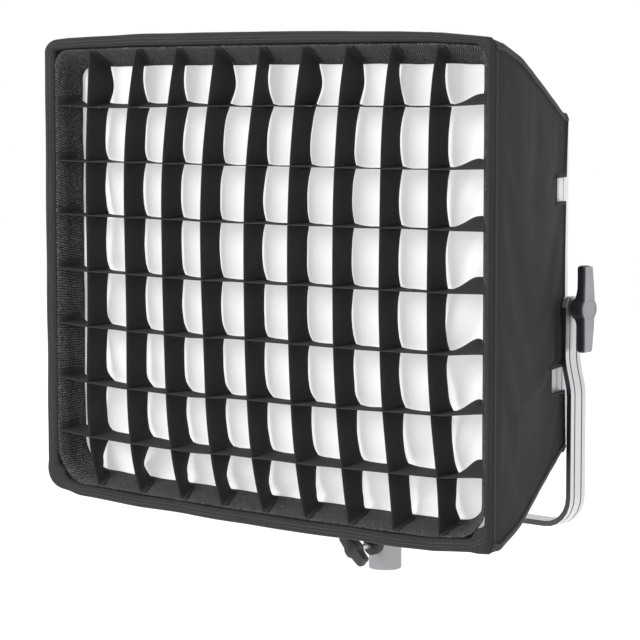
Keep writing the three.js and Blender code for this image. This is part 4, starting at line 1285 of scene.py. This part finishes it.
def upright_shift(column, place, cell, share, depth_share, cell_length):
    """Sideways shift of an upright ribbon, mostly of its rear edge."""
    rear = depth_share ** 1.6
    above = share * cell_length
    curl = CELL_CURL[cell] * (mix(1, 0.4, column / 8) + 0.25 * wander(70 + column, cell, size=1.7))
    curl *= flare(above, BOTTOM_CURL_REACH if cell == 0 else CURL_REACH)
    drawn = 1.2 * flare(cell_length - above, CURL_REACH)
    bulge = 1.5 * wander(80 + column, cell * 3.1, size=2.3) - 2.0
    lean = 0.0
    if cell == LEVELS:
        bulge = TOP_BULGE[column]
        lean = TOP_LEAN[column] * share
    if cell == 0:
        bulge = 0.0
        lean = mix(BOTTOM_TIP[column], BOTTOM_MIDDLE[column], ease(share / 0.3))
        lean *= min((1 - share) / 0.7, 1)
    swell = bulge * math.sin(math.pi * share) ** 1.2 + lean
    front = 0.5 * wander(90 + column, place, size=60 * MM) * (1 - depth_share)
    ripple = 0.9 * wander(95 + column, place, size=19 * MM)
    return (rear * (curl + drawn + swell + ripple) + front) * MM


def level_shift(level, place, cell, share, depth_share, cell_length):
    """Upward shift of a level ribbon, mostly of its rear edge."""
    rear = depth_share ** 1.5
    ripple = 0.55 * wander(120 + level, place, size=16 * MM)
    sag = LEVEL_HEIGHTS[level] * (1 - ease((place / MM - FLAT_FROM[level]) / 100))
    sag -= 0.8 * math.sin(math.pi * share)
    left = 1.5 * flare(share * cell_length, CURL_REACH)
    front = 0.6 * wander(130 + level, place, size=45 * MM) * (1 - depth_share)
    twist = 0.0
    if cell == COLUMNS:
        rise = ease(share / 0.8)
        twist = LIFTS[level] * rise * mix(1, LIFT_ENDS[level], ease((share - 0.8) / 0.2))
        sag = 0.0
    if cell == 0:
        twist = -3.0 * math.sin(math.pi * share) ** 1.5
    return (rear * (twist + sag + left + ripple) + front) * MM


def ribbon_rows(crossings, half_at, shift, lie):
    """Rows of points from a ribbon's front edge to its rear edge, with a tab folded onto the band at each
    end. half_at(depth) is the band's inner half size, shift the sideways bend, and lie puts a point in
    the frame."""
    rows = []
    for i in range(RIBBON_ROWS):
        depth_share = i / (RIBBON_ROWS - 1)
        depth = mix(RIBBON_FRONT, RIBBON_REAR, depth_share)
        half = half_at(depth) - BAND_SHEET - 0.5 * MM
        stations = ribbon_stations(crossings, half)
        cells = [-half, *crossings, half]
        first, last = stations[0][0], stations[-1][0]
        bend = shift(first, 0, 0.0, depth_share, cells[1] - cells[0])
        row = [lie(first - TAB_FOLD, depth, bend + reach) for reach in TAB_POINTS]
        for place, cell, share in stations:
            bend = shift(place, cell, share, depth_share, cells[cell + 1] - cells[cell])
            row.append(lie(place, depth, bend))
        bend = shift(last, len(crossings), 1.0, depth_share, cells[-1] - cells[-2])
        row += [lie(last + TAB_FOLD, depth, bend + reach) for reach in reversed(TAB_POINTS)]
        rows.append(row)
    return rows


def make_ribbon(name, material, crossings, axis, shift, lie, slot):
    """One ribbon, slotted over half its depth where it crosses the others. slot is the slots' rows."""
    rows = ribbon_rows(crossings, lambda depth: band_half(depth)[axis], shift, lie)
    slotted = [len(TAB_POINTS) - 1 + (n + 1) * (CELL_STEPS + 1) for n in range(len(crossings))]
    obj = sheet_mesh(f"grid_ribbon_{name}", rows, material, gaps=lambda i, j: j in slotted and i in slot)
    thicken(move_points(obj, drape_grid), RIBBON_SHEET)
    return dress(obj, "grid", "black_ribbon", f"grid_{name}")


def make_upright(column, x):
    def shift(*at):
        return upright_shift(column, *at)

    def lie(place, depth, bend):
        return (x + upright_bow(column, place) + bend, FRONT_Y + depth, CENTRE_Z + place)

    crossings = [z - level_sag(level, x) for level, z in enumerate(LEVEL_Z)]
    slot = range(SLOT_ROW, RIBBON_ROWS)
    return make_ribbon(f"upright_{column + 1}", RIBBON, crossings, 1, shift, lie, slot)


def make_level(level, z):
    def shift(*at):
        return level_shift(level, *at)

    def lie(place, depth, bend):
        return (place, FRONT_Y + depth, CENTRE_Z + z - level_sag(level, place) + bend)

    crossings = [x + upright_bow(column, z) for column, x in enumerate(COLUMN_X)]
    return make_ribbon(f"level_{level + 1}", RIBBON_LEVEL_HIGHLIT, crossings, 0, shift, lie, range(SLOT_ROW))


# ---------- handles ----------

# Of a T-handle: the length of a wing, its half width at tip and root, the hub's radius, the wing's
# thickness at its tip and at the hub, and how far the hub reaches inwards.
TILT_HANDLE = {
    "long": 40 * MM, "tip": 6.1 * MM, "root": 7.8 * MM, "hub": 11.2 * MM,
    "thick": 8.6 * MM, "deep": 12 * MM, "reach": 16.8 * MM,
}
CLAMP_HANDLE = {
    "long": 19 * MM, "tip": 6 * MM, "root": 6.5 * MM, "hub": 9 * MM,
    "thick": 8 * MM, "deep": 10 * MM, "reach": 13 * MM,
}
# How far a wing's tip falls back behind the hub's face.
HANDLE_CROWN = 1.2 * MM
FACING = 1.3 * MM
FACING_BORDER = 0.4 * MM
CLAMP_TURN = math.radians(133)


def place_points(verts, place):
    return [place @ Vector(v) for v in verts]


def finish_edges(obj, width):
    bevel = obj.modifiers.new("soft_edge", "BEVEL")
    bevel.width = width
    bevel.segments = 2
    bevel.limit_method = "ANGLE"
    bevel.angle_limit = math.radians(35)
    return obj


def handle_width(z, size):
    """Half width of a T-handle's wing at a distance from its middle."""
    share = ease((abs(z) - size["hub"] * 0.6) / (size["long"] - size["hub"] * 0.6))
    return mix(size["root"], size["tip"], share)


def round_end(z, long, radius):
    """Falls from 1 to 0 along a quarter circle over the last radius of a length."""
    return math.sqrt(max(1 - max((abs(z) - long + radius) / radius, 0) ** 2, 0.0))


def make_handle_body(name, size, place):
    """A T-handle with its outward face at x = 0, its wings along Z and its hub reaching to -X."""
    count, around = 56, 40
    rows = []
    for i in range(count + 1):
        z = -size["long"] * math.cos(math.pi * i / count)
        wide = handle_width(z, size)
        deep = mix(size["thick"], size["deep"], 1 - ease((abs(z) - size["hub"] * 0.3) / (size["hub"] * 1.5)))
        crown = HANDLE_CROWN * (z / size["long"]) ** 2
        full = round_end(z, size["long"], 3.2 * MM)
        wide = wide - (1 - full) * 3.0 * MM
        thin = deep * (0.35 + 0.65 * full)
        row = []
        for j in range(around):
            angle = 2 * math.pi * j / around
            c, s = math.cos(angle), math.sin(angle)
            x = -deep / 2 + thin / 2 * math.copysign(abs(c) ** 0.28, c) - crown
            row.append((x, wide * math.copysign(abs(s) ** 0.34, s), z))
        rows.append(row)
    verts = [v for row in rows for v in row]
    faces = tube_faces(count + 1, around) + end_faces(count + 1, around)
    hub, end = size["hub"], -size["reach"]
    neck = hub * 0.72
    profile = [
        (0.0, end), (neck - 1 * MM, end), (neck, end + 1 * MM), (neck + 0.3 * MM, end + 2 * MM),
        (hub - 1.2 * MM, end + 3.2 * MM), (hub - 0.3 * MM, end + 4.4 * MM), (hub, end + 6 * MM),
        (hub, -1.2 * MM), (hub - 0.35 * MM, -0.4 * MM), (hub - 1.2 * MM, 0.0), (0.0, 0.0),
    ]
    hub_verts, hub_faces = lathe(profile, (0, 0, 0), (1, 0, 0), 48)
    parts = [(place_points(verts, place), faces), (place_points(hub_verts, place), hub_faces)]
    return join_meshes(name, parts, KNOB_PLASTIC)


def make_handle_facing(name, size, place):
    """The flat facing let into a T-handle's outward side, with a raised ring on its disc."""
    count = 80
    high = FACING
    border = FACING_BORDER
    disc = size["hub"] - border
    long = size["long"] - 2 * border
    right = []
    for i in range(count + 1):
        z = -long * math.cos(math.pi * i / count)
        wide = handle_width(z, size) - border
        wide -= 2.0 * MM * (1 - round_end(z, long, 2 * MM))
        if abs(z) < disc:
            wide = max(wide, math.sqrt(disc ** 2 - z ** 2))
        right.append((wide, z))
    outline = right + [(-y, z) for y, z in reversed(right)]
    total = len(outline)
    verts = [(x, y, z) for x in (0.0, high - 0.35 * MM) for y, z in outline]
    for y, z in outline:
        verts.append((high, y * (1 - 0.35 * MM / max(abs(y), 1 * MM)), z * (1 - 0.3 * MM / long)))
    verts = [(x - HANDLE_CROWN * (z / size["long"]) ** 2, y, z) for x, y, z in verts]
    faces = []
    for i in range(count):
        faces.append([total - 1 - i, total - 2 - i, i + 1, i])
        faces.append([2 * total + j for j in (i, i + 1, total - 2 - i, total - 1 - i)])
    faces += tube_faces(3, total)
    ring_radius, wire, steps, around = disc * 0.78, 0.45 * MM, 48, 6
    ring_verts = []
    for i in range(steps):
        turn = 2 * math.pi * i / steps
        for j in range(around):
            angle = 2 * math.pi * j / around
            radius = ring_radius + wire * math.cos(angle)
            x = high + wire * 0.8 * math.sin(angle)
            ring_verts.append((x, radius * math.cos(turn), radius * math.sin(turn)))
    ring_faces = [face[:1] + face[:0:-1] for face in tube_faces(steps, around, closed=True)]
    parts = [(place_points(verts, place), faces), (place_points(ring_verts, place), ring_faces)]
    obj = join_meshes(name, parts, GREY_PLASTIC)
    obj.data.polygons.foreach_set("use_smooth", [False] * len(obj.data.polygons))
    return obj


def make_handles():
    right_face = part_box("tilt_handle_right")[1].x
    places = {
        "right": Matrix.Translation((right_face, 0, PIVOT.z)),
        "left": Matrix.Translation((-right_face, 0, PIVOT.z)) @ Matrix.Rotation(math.pi, 4, "Y"),
    }
    for side, place in places.items():
        body = f"tilt_handle_{side}_part"
        handle = make_handle_body(f"tilt_handle_body_{side}", TILT_HANDLE, place)
        dress(handle, body, "black_plastic", f"tilt_handle_{side}")
        facing = make_handle_facing(f"tilt_handle_plate_{side}", TILT_HANDLE, place)
        dress(facing, body, "grey_plastic", f"tilt_handle_facing_{side}")
    knob_low, knob_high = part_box("clamp_knob")
    centre = (knob_low + knob_high) / 2
    place = Matrix.Translation((centre.x, knob_low.y, centre.z))
    place = place @ Matrix.Rotation(CLAMP_TURN, 4, "Y") @ Matrix.Rotation(-math.pi / 2, 4, "Z")
    knob = make_handle_body("clamp_handle_body", CLAMP_HANDLE, place)
    dress(knob, "clamp_knob_part", "black_plastic", "clamp_knob")


# ---------- back of the lamp ----------

SCREW_INSET = 9 * MM
BOX_FACES = [[0, 1, 2, 3], [7, 6, 5, 4], [0, 4, 5, 1], [1, 5, 6, 2], [2, 6, 7, 3], [3, 7, 4, 0]]


def make_screws():
    """Pan-head screws on the rear cover and the control box, each with a dark cross of painted shade for its
    recess.
    """
    spots = []
    for node, shares in (("rear_cover", (0, 0.5, 1)), ("control_box", (0, 1))):
        low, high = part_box(node)
        for share in shares:
            x = mix(low.x + SCREW_INSET, high.x - SCREW_INSET, share)
            spots += [(x, high.y, z) for z in (low.z + SCREW_INSET, high.z - SCREW_INSET)]
    profile = [(r * MM, h * MM) for r, h in ((0, 0), (3.2, 0), (3.2, 0.5), (2.6, 1.2), (1.4, 1.6), (0, 1.7))]
    heads = [lathe(profile, spot, (0, 1, 0), 24) for spot in spots]
    dress(join_meshes("cover_screws", heads, STEEL), "lamp", "bright_steel")
    # The cross recesses are black bars that stand just proud of the heads: painted shade where the hollows
    # would be.
    recess_shade_bars = []
    for x, y, z in spots:
        for wide, tall in ((1.7 * MM, 0.35 * MM), (0.35 * MM, 1.7 * MM)):
            square = [(x + a * wide, z + b * tall) for a, b in ((-1, -1), (1, -1), (1, 1), (-1, 1))]
            corners = [(x, depth, z) for depth in (y + 1.2 * MM, y + 1.78 * MM) for x, z in square]
            recess_shade_bars.append((corners, BOX_FACES))
    dress(join_meshes("cover_screw_recess_shade", recess_shade_bars, KNOB_PLASTIC), "lamp", "black_plastic")


KNOB_RIBS = 36


def make_knob_trim():
    """Ribs round each control knob and the pointer on its face."""
    for name in ("dimmer", "colour"):
        low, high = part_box(f"{name}_knob")
        x, z = (low.x + high.x) / 2, (low.z + high.z) / 2
        radius = (high.x - low.x) / 2
        face = high.y
        ribs = []
        for i in range(KNOB_RIBS):
            angle = 2 * math.pi * i / KNOB_RIBS
            out = Vector((math.cos(angle), 0, math.sin(angle)))
            side = Vector((-out.z, 0, out.x))
            centre = Vector((x, 0, z)) + out * radius
            corners = []
            for y in (face - 10.5 * MM, face - 2.2 * MM):
                for a, b in ((-0.45, -0.4), (0.45, -0.4), (0.25, 0.55), (-0.25, 0.55)):
                    point = centre + side * a * MM + out * b * MM
                    corners.append((point.x, y, point.z))
            ribs.append((corners, BOX_FACES))
        dress(join_meshes(f"{name}_knob_ribs", ribs, KNOB_PLASTIC), f"{name}_knob_part", "black_plastic")
        mark = [
            (x + a * 0.6 * MM, y, z + b)
            for y in (face - 0.3 * MM, face + 0.25 * MM)
            for a, b in ((-1, 4 * MM), (1, 4 * MM), (1, 9 * MM), (-1, 9 * MM))
        ]
        pointer = join_meshes(f"{name}_knob_pointer", [(mark, BOX_FACES)], POINTER)
        dress(finish_edges(pointer, 0.12 * MM), f"{name}_knob_part", "black_plastic")


# ---------- stage, light and camera ----------

FLOOR_Z = -1.25
FLOOR_HALF = 14.0


def make_stage():
    """A wide white floor, as far below the part as a stand would hold it."""
    made = Shader("studio_floor", roughness=0.9, specular=0.1)
    cloud = made.noise(made.object_vector(), 2, 2)
    made.colour(made.ramp(cloud, (0.3, 0.93), (0.7, 0.95)))
    made.shader.inputs["Emission Color"].default_value = (1, 1, 1, 1)
    made.shader.inputs["Emission Strength"].default_value = 0.25
    rows = [[(x, y, FLOOR_Z) for x in (-FLOOR_HALF, FLOOR_HALF)] for y in (-FLOOR_HALF, FLOOR_HALF)]
    sheet_mesh("floor", rows, made.material)


def add_light(name, place, target, size, power):
    data = bpy.data.lights.new(name, "AREA")
    data.shape = "RECTANGLE"
    data.size, data.size_y = size
    data.energy = power
    light = bpy.data.objects.new(name, data)
    bpy.context.scene.collection.objects.link(light)
    light.location = place
    light.rotation_mode = "QUATERNION"
    light.rotation_quaternion = (Vector(target) - Vector(place)).to_track_quat("-Z", "Y")


def make_light():
    world = bpy.data.worlds.new("studio")
    bpy.context.scene.world = world
    world.use_nodes = True
    world.node_tree.nodes["Background"].inputs["Color"].default_value = (1, 1, 1, 1)
    world.node_tree.nodes["Background"].inputs["Strength"].default_value = 1.0
    target = (0, 0, CENTRE_Z)
    add_light("front_key", (-0.9, -2.6, 1.5), target, (1.6, 1.6), 62)
    add_light("right_fill", (2.4, -0.4, 1.6), target, (1.4, 1.8), 14)


CAMERA_PLACE = (1.632, -1.930, 0.475)
CAMERA_HEADING = math.radians(41.67)
CAMERA_PITCH = math.radians(5.21)


def make_camera():
    """The camera looks down a little at the softbox from its front right."""
    data = bpy.data.cameras.new("camera")
    data.lens = 146.3
    data.sensor_width = 36
    data.clip_start, data.clip_end = 0.1, 60
    camera = bpy.data.objects.new("camera", data)
    bpy.context.scene.collection.objects.link(camera)
    camera.location = CAMERA_PLACE
    forward = Vector((
        -math.sin(CAMERA_HEADING) * math.cos(CAMERA_PITCH),
        math.cos(CAMERA_HEADING) * math.cos(CAMERA_PITCH),
        -math.sin(CAMERA_PITCH),
    ))
    camera.rotation_mode = "QUATERNION"
    camera.rotation_quaternion = forward.to_track_quat("-Z", "Y")
    bpy.context.scene.camera = camera
    bpy.context.scene.view_settings.view_transform = "Standard"


# ---------- carried-over CAD nodes ----------

CAD_FINISH = {
    YOKE: ["yoke"],
    RECEIVER: ["stand_receiver", "receiver_core"],
    SILVER: [f"lamp_frame_{side}" for side in SIDES],
    SINK: ["heat_sink"],
    STEEL: ["receiver_bolt", "clamp_screw", "pivot_stud_left", "pivot_stud_right"],
    BLACK_PLASTIC: ["clamp_bush", "control_box", "dimmer_knob", "colour_knob", "power_inlet", "power_switch"],
    GREY_PLASTIC: ["mode_button", "set_button"],
    RUBBER: ["friction_washer_left", "friction_washer_right"],
    PAINT: ["rear_cover"],
    OPAL: ["lamp_diffuser_plate"],
    BOARD_WHITE: ["led_board"],
    BOARD_GREEN: ["driver_board"],
    GLASS: ["display_window"],
    FIBRE: [f"corner_rod_{corner}" for corner in CORNER_NAMES],
}


def finish_cad():
    for material, nodes in CAD_FINISH.items():
        for name in nodes:
            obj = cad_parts[name]
            obj.data.materials.clear()
            obj.data.materials.append(material)


# ---------- assembly ----------

make_stage()
make_light()
make_camera()
finish_cad()

# How much each simulated cloth grows, its share of gravity and its stiffness.
PANEL_CLOTH = (0.0015, 0.25, 20)
DIFFUSER_CLOTH = (0.004, 0.6, 12)

panels = {side: make_panel(side) for side in SIDES}
diffuser = make_diffuser()
settle([*[(panel, *PANEL_CLOTH) for panel in panels.values()], (diffuser, *DIFFUSER_CLOTH)], frames=24)
hoop = make_rim()
for side, panel in panels.items():
    move_points(panel, lambda point: clear_of_yoke(point, PANEL_SHEET / 2 + 0.4 * MM))
    thicken(panel, PANEL_SHEET)
    dress(panel, "softbox", "black_nylon", f"panel_{side}")
    flat, area = panel_cut(side)
thicken(diffuser, 0.7 * MM)
dress(diffuser, "diffuser", "white_cloth", "diffuser_cloth")

for side in SIDES:
    make_edge_binding(side)
for corner, name in enumerate(CORNER_NAMES):
    make_corner_seam(corner, name)
collar = make_collar()
band = make_band()
uprights = [make_upright(column, x) for column, x in enumerate(COLUMN_X)]
levels = [make_level(level, z) for level, z in enumerate(LEVEL_Z)]
make_handles()
make_screws()
make_knob_trim()

# The band's half width and half height at its front, and the length round the shell at the collar, less what
# its round corners save, with the flat width of the collar tape.
wide, tall = band_half(BAND_FRONT)
collar_flat = (4 * sum(shell_half(COLLAR_DEPTH)) - 0.05, 11.9 * MM)
for ribbons, half in ((uprights, tall), (levels, wide)):
    for ribbon in ribbons:
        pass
